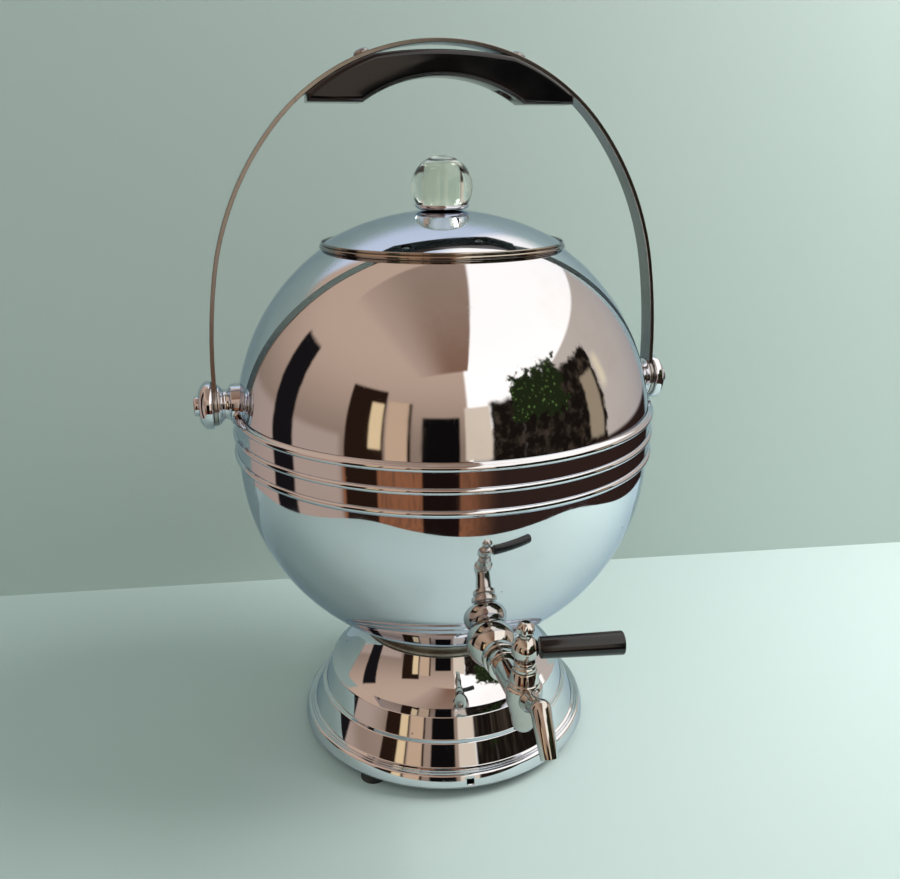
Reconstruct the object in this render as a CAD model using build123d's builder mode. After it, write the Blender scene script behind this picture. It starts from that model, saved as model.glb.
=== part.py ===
from build123d import *

import os
from math import acos, asin, cos, degrees, radians, sin, sqrt, tan

# An electric samovar: a chromed globe on a stepped base, with a tap, a lid with a glass knob
# and a bail handle. Millimetres. The origin is on the table under the globe's axis, +Z is up,
# the tap points along -Y and the bail turns about an axis along X.

os.makedirs("parts", exist_ok=True)

# Sheet, fits and overrun
sheet = 1.0
thin_sheet = 0.8
seat_gap = 0.05
fit_gap = 0.1
hole_gap = 0.3
overrun = 5.0

# Globe: two half globes with a short straight wall between them
globe_radius = 105.0
globe_straight = 16.0
mouth_hole_radius = 55.6
neck_radius = 43.0

# Belt band over the seam
belt_lift = 2.5
belt_height = 24.4
belt_wall = 0.6
bead_radius = 1.6
bead_inset = 2.2

# Mouth ring inside the hole
mouth_ring_wall = 1.0
mouth_ring_rise = 0.4
mouth_ring_flange = 4.4

# Neck ring between the globe and the base
neck_height = 5.3
neck_wall = 5.0
neck_bead_radius = 0.8
neck_bead_reach = 1.3

# Base shell. Radii are insets from the rim or the neck, and heights are rises from step to step.
rim_radius = 79.3
base_edge_inset = 1.7
base_edge_height = 5.5
rim_rise = 1.5
rim_shoulder_inset = 1.5
rim_shoulder_rise = 5.8
ledge_inset = 5.8
ledge_rise = 1.6
lower_wall_inset = 10.2
lower_wall_rise = 11.1
lower_step_inset = 12.3
lower_step_rise = 0.5
upper_wall_inset = 15.9
upper_wall_rise = 11.3
upper_step_inset = 20.0
upper_step_rise = 2.3
flare_rise = 21.3
flare_overhang = 2.8
flare_arc_radius = 42.0
flange_inset = 6.0
rim_slot_width = 4.0
rim_slot_height = 3.0
rim_slot_rise = 4.1
rim_slot_turn = 4.3

# Bottom plate, feet and the stud that ties the base to the globe
plate_inset = 2.1
dish_inset = 19.2
dish_slope_length = 14.0
dish_rise = 7.5
foot_radius = 6.8
foot_top_radius = 6.2
foot_inset = 8.3
foot_turns = (-45.0, 75.0, 195.0)
foot_recess_radius = 3.6
foot_recess_depth = 2.2
foot_screw_radius = 1.7
foot_screw_length = 9.0
foot_head_height = 1.8
stud_radius = 2.5
stud_past_nut = 1.5
washer_height = 1.0
washer_radius = 5.5
nut_height = 4.0
nut_radius = 4.6

# Heating element: a ring of tube with two legs through the globe's floor
element_radius = 4.0
element_ring_inset = 15.0
element_lift = 15.5
element_open_turn = 48.0
element_bend = 8.5
element_leg_drop = 11.0
element_flange_radius = 6.5
element_flange_height = 2.5
element_nut_radius = 6.6
element_nut_height = 3.6
element_seal_radius = 6.5
element_seal_height = 1.0
terminal_radius = 1.3
terminal_length = 5.0

# Power inlet at the back of the base
inlet_height = 25.5
inlet_width = 36.0
inlet_depth = 20.0
inlet_wall = 1.2
inlet_back_inset = 23.3
inlet_stand = 2.7
insulator_depth = 12.0
pin_spacing = 19.0
pin_radius = 3.0
pin_root_radius = 2.5
pin_root_stand = 0.5
pin_tail = 10.0
pin_setback = 4.0
lead_radius = 1.1
lead_bend = 6.0

# Tap: bulb boss, shank with two collars, barrel and spout
tap_drop_share = 0.6333
bulb_radius = 11.5
bulb_stand = 9.7
shank_radius = 5.6
shank_bore_radius = 2.8
collar_radius = 8.0
collar_length = 4.5
collar_stand = 20.3
front_collar_radius = 7.4
front_collar_length = 4.0
front_collar_stand = 26.8
collar_round = 1.2
saddle_radius = 9.0
saddle_edge = 1.0
tap_nut_radius = 9.5
tap_nut_length = 4.5
cock_stand = 55.7
tail_drop = 14.5
tail_radius = 4.9
tail_round = 3.5
barrel_radius = 7.6
barrel_flare = 12.0
barrel_rise = 8.0
barrel_round = 1.2
cavity_drop = 9.0
plug_foot_radius = 4.0
plug_head_radius = 5.2
port_radius = 2.4
arm_lift = 2.5
arm_radius = 3.3
arm_bore_radius = 2.2
arm_slope = 13.4
nozzle_stand = 18.5
nozzle_lift = 10.5
nozzle_tilt = 37.1
nozzle_length = 20.7
nozzle_top_radius = 4.3
nozzle_tip_radius = 3.6
nozzle_bore_radius = 2.6
nozzle_cap = 3.0

# Tap plug, its gland, ball, finial and handle
gland_radius = 6.8
gland_top_radius = 5.2
gland_height = 6.5
gland_round = 0.8
stem_radius = 3.2
neck_disc_radius = 4.8
neck_disc_height = 4.0
ball_radius = 5.7
ball_lift = 5.5
finial_radius = 4.1
finial_waist = 2.6
finial_height = 6.5
finial_lobes = 6
finial_groove_radius = 0.9
handle_turn = 8.1
handle_root_radius = 4.5
handle_end_radius = 4.9
handle_reach = 40.5
handle_round = 0.8
handle_stud_radius = 2.0
handle_stud_depth = 12.0

# Bail pivots on the globe's sides
pivot_lift = 14.0
boss_ring_radius = 9.9
boss_ring_length = 3.1
boss_neck_radius = 7.1
boss_flare_radius = 10.0
boss_length = 9.3
boss_lip = 0.9
spigot_radius = 4.0
cap_radius = 11.8
cap_length = 6.9
cap_rim = 3.2
cap_bulge_length_share = 0.85
cap_bulge_radius_share = 0.755
button_radius = 5.0
button_length = 2.4
pivot_screw_radius = 3.0
pivot_washer_radius = 6.0
pivot_washer_height = 0.8
pivot_nut_radius = 5.4
pivot_nut_height = 4.0

# Bail strap: an arch of tangent arcs that ends in two flat eyes
strap_rise_share = 1.46
strap_thickness = 2.0
strap_width = 11.5
eye_radius = 10.2
eye_straight = 12.0
crown_radius_share = 0.9
crown_turn = 50.0
shoulder_turn = 30.0

# Grip under the strap's crown
grip_width = 18.0
grip_reach = 63.5
grip_foot = 38.5
grip_tip_depth = 3.9
grip_arch_rise = 11.8
grip_meets_strap = 33.0
grip_crown_gap = 2.9
grip_round = 1.2
grip_screw_reach = 37.0
grip_screw_radius = 2.0
grip_head_radius = 3.8
grip_head_height = 2.0
grip_nut_radius = 3.8
grip_nut_height = 3.0
grip_nut_depth = 10.0
grip_recess_radius = 4.6
grip_screw_end = 1.0

# Lid, its rim and skirt
lid_overhang = 2.6
lid_dome_rise = 15.4
lid_edge_drop = 0.63
lid_float = 0.45
rim_web = 1.0
rim_bead_radius = 1.0
rim_bead_lift = 0.8
rim_line_radius = 0.65
rim_line_lift = 0.38
skirt_gap = 0.4
skirt_depth = 9.5
skirt_flange = 0.6

# Knob: a cup-shaped ferrule and a hollow glass ball
ferrule_overhang = 1.25
ferrule_taper = 2.2
ferrule_height = 2.5
knob_radius = 14.85
knob_lift_share = 0.714
knob_cavity_share = 0.62
knob_cavity_round = 4.0
knob_crown_wall = 3.0
knob_screw_radius = 2.0
knob_head_radius = 4.0
knob_head_height = 1.8
knob_screw_drop = 9.0
knob_washer_radius = 5.0
knob_nut_radius = 4.0
knob_nut_height = 3.0

# Heights and radii that follow from the sizes above
globe_inner = globe_radius - sheet
base_edge_radius = rim_radius - base_edge_inset
rim_height = base_edge_height + rim_rise
rim_shoulder_height = rim_height + rim_shoulder_rise
ledge_height = rim_shoulder_height + ledge_rise
lower_wall_height = ledge_height + lower_wall_rise
lower_step_height = lower_wall_height + lower_step_rise
upper_wall_height = lower_wall_height + upper_wall_rise
upper_step_height = upper_wall_height + upper_step_rise
upper_step_radius = rim_radius - upper_step_inset
base_height = upper_step_height + flare_rise
flange_inner_radius = neck_radius - flange_inset
globe_bottom = base_height + neck_height
lower_centre = globe_bottom + sqrt(globe_radius**2 - neck_radius**2)
upper_centre = lower_centre + globe_straight
floor_top = globe_bottom + sheet
belt_bottom = lower_centre + belt_lift
belt_middle = belt_bottom + belt_height / 2
belt_inner = globe_radius + seat_gap
belt_outer = belt_inner + belt_wall
plate_bottom = base_edge_height - thin_sheet
plate_radius = rim_radius - plate_inset
dish_outer_radius = plate_radius - dish_inset
dish_inner_radius = dish_outer_radius - dish_slope_length
foot_circle = rim_radius - foot_inset
inlet_back = rim_radius - inlet_back_inset
inlet_mouth = rim_radius + inlet_stand
element_ring_radius = neck_radius - element_ring_inset
tap_drop = globe_radius * tap_drop_share
tap_height = lower_centre - tap_drop
pivot_height = upper_centre + pivot_lift
globe_lower_middle = (0, 0, lower_centre)
globe_upper_middle = (0, 0, upper_centre)


def reach_at(radius, drop):
    """How far a ball of this radius reaches sideways at this distance above or below its centre."""
    return sqrt(radius**2 - drop**2)


def dome_level(radius, reach):
    """Height of a ball of this radius about the upper middle, at this distance from the axis."""
    return upper_centre + reach_at(radius, reach)


def save(piece, name):
    """Label the finished piece and write it to its own file."""
    piece.part.label = name
    export_step(piece.part, "parts/" + name + ".step")


# Upper half of the globe, from the seam under the belt to the mouth
mouth_turn = degrees(acos(mouth_hole_radius / globe_radius))
inner_mouth_turn = degrees(acos(mouth_hole_radius / globe_inner))
with BuildPart() as upper_shell:
    with BuildSketch(Plane.XZ):
        with BuildLine():
            outside = CenterArc((0, upper_centre), globe_radius, 0, mouth_turn)
            inside = CenterArc((0, upper_centre), globe_inner, 0, inner_mouth_turn)
            Line(outside @ 1, inside @ 1)
            Polyline(outside @ 0, (globe_radius, belt_middle), (globe_inner, belt_middle), inside @ 0)
        make_face()
    revolve(axis=Axis.Z)
    with BuildSketch(Plane.YZ):
        with Locations((0, pivot_height)):
            Circle(pivot_screw_radius + hole_gap)
    extrude(amount=globe_radius, both=True, mode=Mode.SUBTRACT)
save(upper_shell, "upper_shell")

# Lower half of the globe with its flat floor
floor_inner_radius = reach_at(globe_inner, lower_centre - floor_top)
floor_turn = degrees(acos(neck_radius / globe_radius))
inner_floor_turn = degrees(acos(floor_inner_radius / globe_inner))
element_leg_turn = radians(element_open_turn)
element_leg_x = element_ring_radius * sin(element_leg_turn) - element_bend * cos(element_leg_turn)
element_leg_y = element_ring_radius * cos(element_leg_turn) + element_bend * sin(element_leg_turn)
element_legs = [(element_leg_x, element_leg_y), (-element_leg_x, element_leg_y)]
with BuildPart() as lower_shell:
    with BuildSketch(Plane.XZ):
        with BuildLine():
            outside = CenterArc((0, lower_centre), globe_radius, 0, -floor_turn)
            inside = CenterArc((0, lower_centre), globe_inner, 0, -inner_floor_turn)
            Polyline(outside @ 1, (0, globe_bottom), (0, floor_top), inside @ 1)
            Polyline(outside @ 0, (globe_radius, belt_middle), (globe_inner, belt_middle), inside @ 0)
        make_face()
    revolve(axis=Axis.Z)
    with BuildSketch(Plane.XZ):
        with Locations((0, tap_height)):
            Circle(shank_radius + hole_gap)
    extrude(amount=globe_radius, mode=Mode.SUBTRACT)
    with BuildSketch(Plane.XY.offset(globe_bottom)):
        with Locations(*element_legs):
            Circle(element_radius + hole_gap)
    extrude(amount=sheet, mode=Mode.SUBTRACT)
save(lower_shell, "lower_shell")

# Belt band with three raised beads, notched round the pivot bosses
bead_levels = (belt_bottom + bead_inset, belt_middle, belt_bottom + belt_height - bead_inset)
with BuildPart() as belt_band:
    with BuildSketch(Plane.XZ):
        with Locations((belt_inner + belt_wall / 2, belt_middle)):
            Rectangle(belt_wall, belt_height)
        with Locations(*[(belt_outer, level) for level in bead_levels]):
            Circle(bead_radius)
        with Locations((belt_inner / 2, belt_middle)):
            Rectangle(belt_inner, belt_height, mode=Mode.SUBTRACT)
    revolve(axis=Axis.Z)
    with BuildSketch(Plane.YZ):
        with Locations((0, pivot_height)):
            Circle(boss_ring_radius + fit_gap)
    extrude(amount=belt_outer + overrun, both=True, mode=Mode.SUBTRACT)
save(belt_band, "belt_band")

# Mouth ring: an upright wall in the hole and a flange that lies under the globe's sheet
mouth_ring_outer = mouth_hole_radius - hole_gap
mouth_ring_inner = mouth_ring_outer - mouth_ring_wall
mouth_ring_reach = mouth_ring_outer + mouth_ring_flange
mouth_ring_top = dome_level(globe_radius, mouth_hole_radius) + mouth_ring_rise
flange_top_ball = globe_inner - seat_gap
flange_under_ball = flange_top_ball - mouth_ring_wall
with BuildPart() as mouth_ring:
    with BuildSketch(Plane.XZ):
        with BuildLine():
            start = (mouth_ring_outer, dome_level(flange_top_ball, mouth_ring_outer))
            end = (mouth_ring_reach, dome_level(flange_top_ball, mouth_ring_reach))
            under_end = (mouth_ring_reach, dome_level(flange_under_ball, mouth_ring_reach))
            under_start = (mouth_ring_inner, dome_level(flange_under_ball, mouth_ring_inner))
            RadiusArc(start, end, flange_top_ball)
            Line(end, under_end)
            RadiusArc(under_end, under_start, -flange_under_ball)
            wall_top = Line((mouth_ring_inner, mouth_ring_top), (mouth_ring_outer, mouth_ring_top))
            Line(under_start, wall_top @ 0)
            Line(wall_top @ 1, start)
        make_face()
    revolve(axis=Axis.Z)
save(mouth_ring, "mouth_ring")

# Neck ring with its bright bead on the base
with BuildPart() as neck_ring:
    with BuildSketch(Plane.XZ):
        with Locations((neck_radius - neck_wall / 2, base_height + neck_height / 2)):
            Rectangle(neck_wall, neck_height)
        with Locations((neck_radius + neck_bead_reach, base_height + neck_bead_radius)):
            Circle(neck_bead_radius)
        with Locations((neck_radius + neck_bead_reach / 2, base_height + neck_bead_radius)):
            Rectangle(neck_bead_reach, neck_bead_radius)
    revolve(axis=Axis.Z)
save(neck_ring, "neck_ring")

# Base shell: rolled rim, two stepped walls and a trumpet-shaped flare under the neck
with BuildPart() as base_bell:
    with BuildSketch(Plane.XZ):
        with BuildLine():
            edge = Line((base_edge_radius, base_edge_height), (rim_radius, rim_height))
            steps = Polyline(
                edge @ 1,
                (rim_radius - rim_shoulder_inset, rim_shoulder_height),
                (rim_radius - ledge_inset, ledge_height),
                (rim_radius - lower_wall_inset, lower_wall_height),
                (rim_radius - lower_step_inset, lower_step_height),
                (rim_radius - upper_wall_inset, upper_wall_height),
                (upper_step_radius, upper_step_height),
            )
            flare = RadiusArc(steps @ 1, (neck_radius + flare_overhang, base_height), flare_arc_radius)
            Line(flare @ 1, (flange_inner_radius, base_height))
            offset(amount=sheet, side=Side.LEFT, closed=True)
        make_face()
    revolve(axis=Axis.Z)
    with BuildSketch(Plane.XZ.rotated((0, 0, -rim_slot_turn))):
        with Locations((0, base_edge_height + rim_slot_rise)):
            RectangleRounded(rim_slot_width, rim_slot_height, rim_slot_height / 3)
    extrude(amount=rim_radius, mode=Mode.SUBTRACT)
    with BuildSketch(Plane.XZ):
        with Locations((0, inlet_height)):
            SlotOverall(inlet_width + 2 * hole_gap, inlet_depth + 2 * hole_gap)
    extrude(amount=-inlet_mouth, mode=Mode.SUBTRACT)
save(base_bell, "base_bell")

# Bottom plate, dished up in the middle round the nut
foot_places = [(foot_circle * sin(radians(turn)), -foot_circle * cos(radians(turn))) for turn in foot_turns]
with BuildPart() as base_plate:
    with BuildSketch(Plane.XZ):
        with BuildLine():
            Polyline(
                (plate_radius, plate_bottom),
                (dish_outer_radius, plate_bottom),
                (dish_inner_radius, plate_bottom + dish_rise),
                (0, plate_bottom + dish_rise),
            )
            offset(amount=thin_sheet, side=Side.RIGHT, closed=True)
        make_face()
    revolve(axis=Axis.Z)
    with BuildSketch(Plane.XY.offset(plate_bottom)):
        with Locations(*foot_places):
            Circle(foot_screw_radius + fit_gap)
        Circle(stud_radius + fit_gap)
    extrude(amount=dish_rise + thin_sheet, mode=Mode.SUBTRACT)
save(base_plate, "base_plate")

# Three rubber feet with recesses for their screws
with BuildPart() as feet:
    for place in foot_places:
        with BuildSketch():
            with Locations(place):
                Circle(foot_radius)
        with BuildSketch(Plane.XY.offset(plate_bottom)):
            with Locations(place):
                Circle(foot_top_radius)
        loft()
    with BuildSketch():
        with Locations(*foot_places):
            Circle(foot_recess_radius)
    extrude(amount=foot_recess_depth, mode=Mode.SUBTRACT)
    with BuildSketch():
        with Locations(*foot_places):
            Circle(foot_screw_radius + fit_gap)
    extrude(amount=plate_bottom, mode=Mode.SUBTRACT)
save(feet, "feet")

with BuildPart() as foot_screws:
    with BuildSketch(Plane.XY.offset(foot_recess_depth)):
        with Locations(*foot_places):
            Circle(foot_recess_radius - hole_gap)
    extrude(amount=-foot_head_height)
    with BuildSketch(Plane.XY.offset(foot_recess_depth)):
        with Locations(*foot_places):
            Circle(foot_screw_radius)
    extrude(amount=foot_screw_length)
save(foot_screws, "foot_screws")

# Tie stud from the globe's floor to the nut under the bottom plate
dish_bottom = plate_bottom + dish_rise
with BuildPart() as tie_stud:
    with BuildSketch(Plane.XY.offset(globe_bottom)):
        Circle(stud_radius)
    extrude(amount=-(globe_bottom - dish_bottom + washer_height + nut_height + stud_past_nut))
save(tie_stud, "tie_stud")

with BuildPart() as tie_washer:
    with BuildSketch(Plane.XY.offset(dish_bottom)):
        Circle(washer_radius)
        Circle(stud_radius + fit_gap, mode=Mode.SUBTRACT)
    extrude(amount=-washer_height)
save(tie_washer, "tie_washer")

with BuildPart() as tie_nut:
    with BuildSketch(Plane.XY.offset(dish_bottom - washer_height)):
        RegularPolygon(nut_radius, 6)
        Circle(stud_radius + fit_gap, mode=Mode.SUBTRACT)
    extrude(amount=-nut_height)
save(tie_nut, "tie_nut")

# Heating element: a tube bent to an open ring, with two legs through the floor
ring_level = floor_top + element_lift
leg_bottom = globe_bottom - element_leg_drop
ring_end_x = element_ring_radius * sin(element_leg_turn)
ring_end_y = element_ring_radius * cos(element_leg_turn)
bend_share = sin(radians(45))
bend_side = element_bend * (1 - bend_share)
bend_mid_x = element_leg_x + bend_side * cos(element_leg_turn)
bend_mid_y = element_leg_y - bend_side * sin(element_leg_turn)
leg_top = ring_level - element_bend
bend_mid_z = leg_top + element_bend * bend_share
with BuildPart() as heating_element:
    with BuildLine():
        first_leg = Line((element_leg_x, element_leg_y, leg_bottom), (element_leg_x, element_leg_y, leg_top))
        first_bend = ThreePointArc(
            first_leg @ 1, (bend_mid_x, bend_mid_y, bend_mid_z), (ring_end_x, ring_end_y, ring_level)
        )
        ring = ThreePointArc(
            first_bend @ 1, (0, -element_ring_radius, ring_level), (-ring_end_x, ring_end_y, ring_level)
        )
        last_bend = ThreePointArc(
            ring @ 1, (-bend_mid_x, bend_mid_y, bend_mid_z), (-element_leg_x, element_leg_y, leg_top)
        )
        Line(last_bend @ 1, (-element_leg_x, element_leg_y, leg_bottom))
    with BuildSketch(Plane.XY.offset(leg_bottom)):
        with Locations((element_leg_x, element_leg_y)):
            Circle(element_radius)
    sweep()
    with BuildSketch(Plane.XY.offset(floor_top + element_seal_height)):
        with Locations(*element_legs):
            Circle(element_flange_radius)
    extrude(amount=element_flange_height)
    with BuildSketch(Plane.XY.offset(leg_bottom)):
        with Locations(*element_legs):
            Circle(terminal_radius)
    extrude(amount=-terminal_length)
save(heating_element, "heating_element")

with BuildPart() as element_seals:
    with BuildSketch(Plane.XY.offset(floor_top)):
        with Locations(*element_legs):
            Circle(element_seal_radius)
        with Locations(*element_legs):
            Circle(element_radius + fit_gap, mode=Mode.SUBTRACT)
    extrude(amount=element_seal_height)
save(element_seals, "element_seals")

with BuildPart() as element_nuts:
    with BuildSketch(Plane.XY.offset(globe_bottom)):
        with Locations(*element_legs):
            RegularPolygon(element_nut_radius, 6)
        with Locations(*element_legs):
            Circle(element_radius + fit_gap, mode=Mode.SUBTRACT)
    extrude(amount=-element_nut_height)
save(element_nuts, "element_nuts")

# Power inlet: an oval shroud, an insulator and two pins that point backwards
pin_places = [(pin_spacing / 2, inlet_height), (-pin_spacing / 2, inlet_height)]
pin_shoulder = inlet_back + insulator_depth + pin_root_stand
with BuildPart() as inlet_shroud:
    with BuildSketch(Plane.XZ.offset(-inlet_back)):
        with Locations((0, inlet_height)):
            SlotOverall(inlet_width, inlet_depth)
            SlotOverall(inlet_width - 2 * inlet_wall, inlet_depth - 2 * inlet_wall, mode=Mode.SUBTRACT)
    extrude(amount=-(inlet_mouth - inlet_back))
save(inlet_shroud, "inlet_shroud")

insulator_inset = 2 * (inlet_wall + fit_gap)
with BuildPart() as inlet_insulator:
    with BuildSketch(Plane.XZ.offset(-inlet_back)):
        with Locations((0, inlet_height)):
            SlotOverall(inlet_width - insulator_inset, inlet_depth - insulator_inset)
        with Locations(*pin_places):
            Circle(pin_root_radius + fit_gap, mode=Mode.SUBTRACT)
    extrude(amount=-insulator_depth)
save(inlet_insulator, "inlet_insulator")

with BuildPart() as inlet_pins:
    with BuildSketch(Plane.XZ.offset(pin_tail - inlet_back)):
        with Locations(*pin_places):
            Circle(pin_root_radius)
    extrude(amount=-(pin_tail + insulator_depth + pin_root_stand))
    with BuildSketch(Plane.XZ.offset(-pin_shoulder)):
        with Locations(*pin_places):
            Circle(pin_radius)
    extrude(amount=-(inlet_mouth - pin_setback - pin_shoulder))
    fillet(inlet_pins.edges().filter_by(GeomType.CIRCLE).group_by(Axis.Y)[-1], pin_radius / 3)
save(inlet_pins, "inlet_pins")

# Two short leads from the inlet's pins to the element's terminals
lead_end = leg_bottom - terminal_length
lead_start = inlet_back - pin_tail - fit_gap
with BuildPart() as inner_leads:
    for side in (1, -1):
        with BuildLine() as lead_route:
            FilletPolyline(
                (side * pin_spacing / 2, lead_start, inlet_height),
                (side * pin_spacing / 2, (lead_start + element_leg_y) / 2, inlet_height),
                (side * element_leg_x, element_leg_y, inlet_height),
                (side * element_leg_x, element_leg_y, lead_end),
                radius=lead_bend,
            )
        with BuildSketch(Plane(origin=lead_route.line @ 0, z_dir=lead_route.line % 0)):
            Circle(lead_radius)
        sweep(path=lead_route.line)
save(inner_leads, "inner_leads")

# Tap: where its shank goes through the globe's wall
tap_root = reach_at(globe_radius, tap_drop)
cock_y = -(tap_root + cock_stand)
bulb_y = -(tap_root + bulb_stand)
saddle_face = reach_at(globe_inner, tap_drop + tap_nut_radius) - saddle_edge
shank_end = saddle_face - tap_nut_length - stud_past_nut
tap_face = Plane(origin=(0, 0, tap_height), x_dir=(1, 0, 0), z_dir=(0, -1, 0))

with BuildPart() as tap_boss:
    with Locations((0, bulb_y, tap_height)):
        Sphere(bulb_radius)
    with Locations(globe_lower_middle):
        Sphere(globe_radius + seat_gap, mode=Mode.SUBTRACT)
    with BuildSketch(tap_face):
        Circle(shank_radius + fit_gap)
    extrude(amount=tap_root + collar_stand + overrun, mode=Mode.SUBTRACT)
save(tap_boss, "tap_boss")

with BuildPart() as tap_saddle:
    with BuildSketch(tap_face.offset(saddle_face)):
        Circle(saddle_radius)
        Circle(shank_radius + fit_gap, mode=Mode.SUBTRACT)
    extrude(amount=globe_inner - saddle_face)
    with Locations(globe_lower_middle):
        Sphere(globe_inner - seat_gap, mode=Mode.INTERSECT)
save(tap_saddle, "tap_saddle")

with BuildPart() as tap_nut:
    with BuildSketch(tap_face.offset(saddle_face - tap_nut_length)):
        RegularPolygon(tap_nut_radius, 6)
        Circle(shank_radius + fit_gap, mode=Mode.SUBTRACT)
    extrude(amount=tap_nut_length)
save(tap_nut, "tap_nut")

with BuildPart() as tap_collars:
    with BuildSketch(tap_face.offset(tap_root + collar_stand)):
        Circle(collar_radius)
    extrude(amount=collar_length)
    with BuildSketch(tap_face.offset(tap_root + front_collar_stand)):
        Circle(front_collar_radius)
    extrude(amount=front_collar_length)
    fillet(tap_collars.edges().filter_by(GeomType.CIRCLE), collar_round)
    with BuildSketch(tap_face):
        Circle(shank_radius + fit_gap)
    extrude(amount=tap_root + cock_stand, mode=Mode.SUBTRACT)
save(tap_collars, "tap_collars")

# Tap body: shank, tapered barrel with a rounded tail, and the rising spout arm
cock_axis = Axis((0, cock_y, 0), (0, 0, 1))
cock_face = Plane(origin=(0, cock_y, 0), x_dir=(1, 0, 0), z_dir=(0, -1, 0))
tail_bottom = tap_height - tail_drop
tail_shoulder = tail_bottom + tail_round
barrel_widest = tail_shoulder + barrel_flare
barrel_top = tap_height + barrel_rise
cavity_bottom = tap_height - cavity_drop
cavity_foot_radius = plug_foot_radius + fit_gap
cavity_head_radius = plug_head_radius + fit_gap
nozzle_top_y = cock_y - nozzle_stand
nozzle_top_z = tap_height + nozzle_lift
slope = radians(arm_slope)
tilt = radians(nozzle_tilt)
arm_start_z = tap_height + arm_lift
arm_reach = (nozzle_stand + (nozzle_lift - arm_lift) * tan(tilt)) / (1 + tan(slope) * tan(tilt))
arm_to_nozzle = arm_reach / cos(slope)
arm_plane = Plane(origin=(0, cock_y, arm_start_z), x_dir=(1, 0, 0), z_dir=(0, -cos(slope), sin(slope)))
nozzle_way = (0, -sin(tilt), -cos(tilt))
nozzle_plane = Plane(origin=(0, nozzle_top_y, nozzle_top_z), x_dir=(1, 0, 0), z_dir=nozzle_way)
with BuildPart() as tap_body:
    with BuildSketch(cock_face):
        with BuildLine():
            tail = RadiusArc((0, tail_bottom), (tail_radius, tail_shoulder), -tail_radius)
            Polyline(
                tail @ 1,
                (barrel_radius, barrel_widest),
                (barrel_radius, barrel_top - barrel_round),
                (barrel_radius - barrel_round, barrel_top),
                (0, barrel_top),
                (0, tail_bottom),
            )
        make_face()
    revolve(axis=cock_axis)
    with BuildSketch(tap_face.offset(shank_end)):
        Circle(shank_radius)
    extrude(amount=tap_root + cock_stand - shank_end)
    with BuildSketch(arm_plane):
        Circle(arm_radius)
    extrude(amount=arm_to_nozzle - nozzle_bore_radius - fit_gap)
    with BuildSketch(cock_face):
        Polygon(
            (0, cavity_bottom),
            (cavity_foot_radius, cavity_bottom),
            (cavity_head_radius, barrel_top),
            (0, barrel_top),
            align=None,
        )
    revolve(axis=cock_axis, mode=Mode.SUBTRACT)
    with BuildSketch(tap_face.offset(shank_end)):
        Circle(shank_bore_radius)
    extrude(amount=tap_root + cock_stand - shank_end, mode=Mode.SUBTRACT)
    with BuildSketch(arm_plane):
        Circle(arm_bore_radius)
    extrude(amount=arm_to_nozzle, mode=Mode.SUBTRACT)
save(tap_body, "tap_body")

# Nozzle: a leaning round-topped tube that the spout arm enters from behind
with BuildPart() as tap_nozzle:
    with BuildSketch(nozzle_plane.offset(-nozzle_top_radius / 2)):
        Circle(nozzle_top_radius)
    with BuildSketch(nozzle_plane.offset(nozzle_length)):
        Circle(nozzle_tip_radius)
    loft()
    fillet(tap_nozzle.faces().sort_by(Axis.Z)[-1].edges(), nozzle_top_radius / 2)
    with BuildSketch(nozzle_plane.offset(nozzle_cap - nozzle_top_radius / 2)):
        Circle(nozzle_bore_radius)
    extrude(amount=nozzle_length, mode=Mode.SUBTRACT)
    with BuildSketch(arm_plane):
        Circle(arm_radius + fit_gap)
    extrude(amount=arm_to_nozzle, mode=Mode.SUBTRACT)
save(tap_nozzle, "tap_nozzle")

# Gland that holds the plug down in the barrel
gland_top = barrel_top + gland_height
with BuildPart() as tap_gland:
    with BuildSketch(Plane.XY.offset(barrel_top)):
        with Locations((0, cock_y)):
            Circle(gland_radius)
    with BuildSketch(Plane.XY.offset(gland_top)):
        with Locations((0, cock_y)):
            Circle(gland_top_radius)
    loft()
    fillet(tap_gland.edges().group_by(Axis.Z)[-1], gland_round)
    with BuildSketch(Plane.XY.offset(barrel_top)):
        with Locations((0, cock_y)):
            Circle(stem_radius + fit_gap)
    extrude(amount=gland_height, mode=Mode.SUBTRACT)
save(tap_gland, "tap_gland")

# Plug: tapered foot with a cross port, stem, neck disc and ball. Shut, its port lies across.
disc_bottom = gland_top + fit_gap
disc_top = disc_bottom + neck_disc_height
ball_middle = disc_top + ball_lift
ball_top = ball_middle + ball_radius - fit_gap
plug_drop = cavity_bottom + hole_gap
plug_rise = barrel_top - hole_gap
handle_angle = radians(handle_turn)
handle_way = (cos(handle_angle), -sin(handle_angle), 0)
handle_plane = Plane(origin=(0, cock_y, ball_middle), x_dir=(0, 0, 1), z_dir=handle_way)
with BuildPart() as tap_plug:
    with BuildSketch(cock_face):
        Polygon(
            (0, plug_drop),
            (plug_foot_radius, plug_drop),
            (plug_head_radius, plug_rise),
            (stem_radius, plug_rise),
            (stem_radius, disc_bottom),
            (neck_disc_radius, disc_bottom),
            (neck_disc_radius, disc_top),
            (0, disc_top),
            align=None,
        )
    revolve(axis=cock_axis)
    with Locations((0, cock_y, ball_middle)):
        Sphere(ball_radius)
    with BuildSketch(handle_plane):
        Circle(handle_stud_radius + fit_gap)
    extrude(amount=ball_radius, mode=Mode.SUBTRACT)
    with BuildSketch(Plane.YZ):
        with Locations((cock_y, tap_height)):
            Circle(port_radius)
    extrude(amount=plug_head_radius, both=True, mode=Mode.SUBTRACT)
save(tap_plug, "tap_plug")

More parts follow.
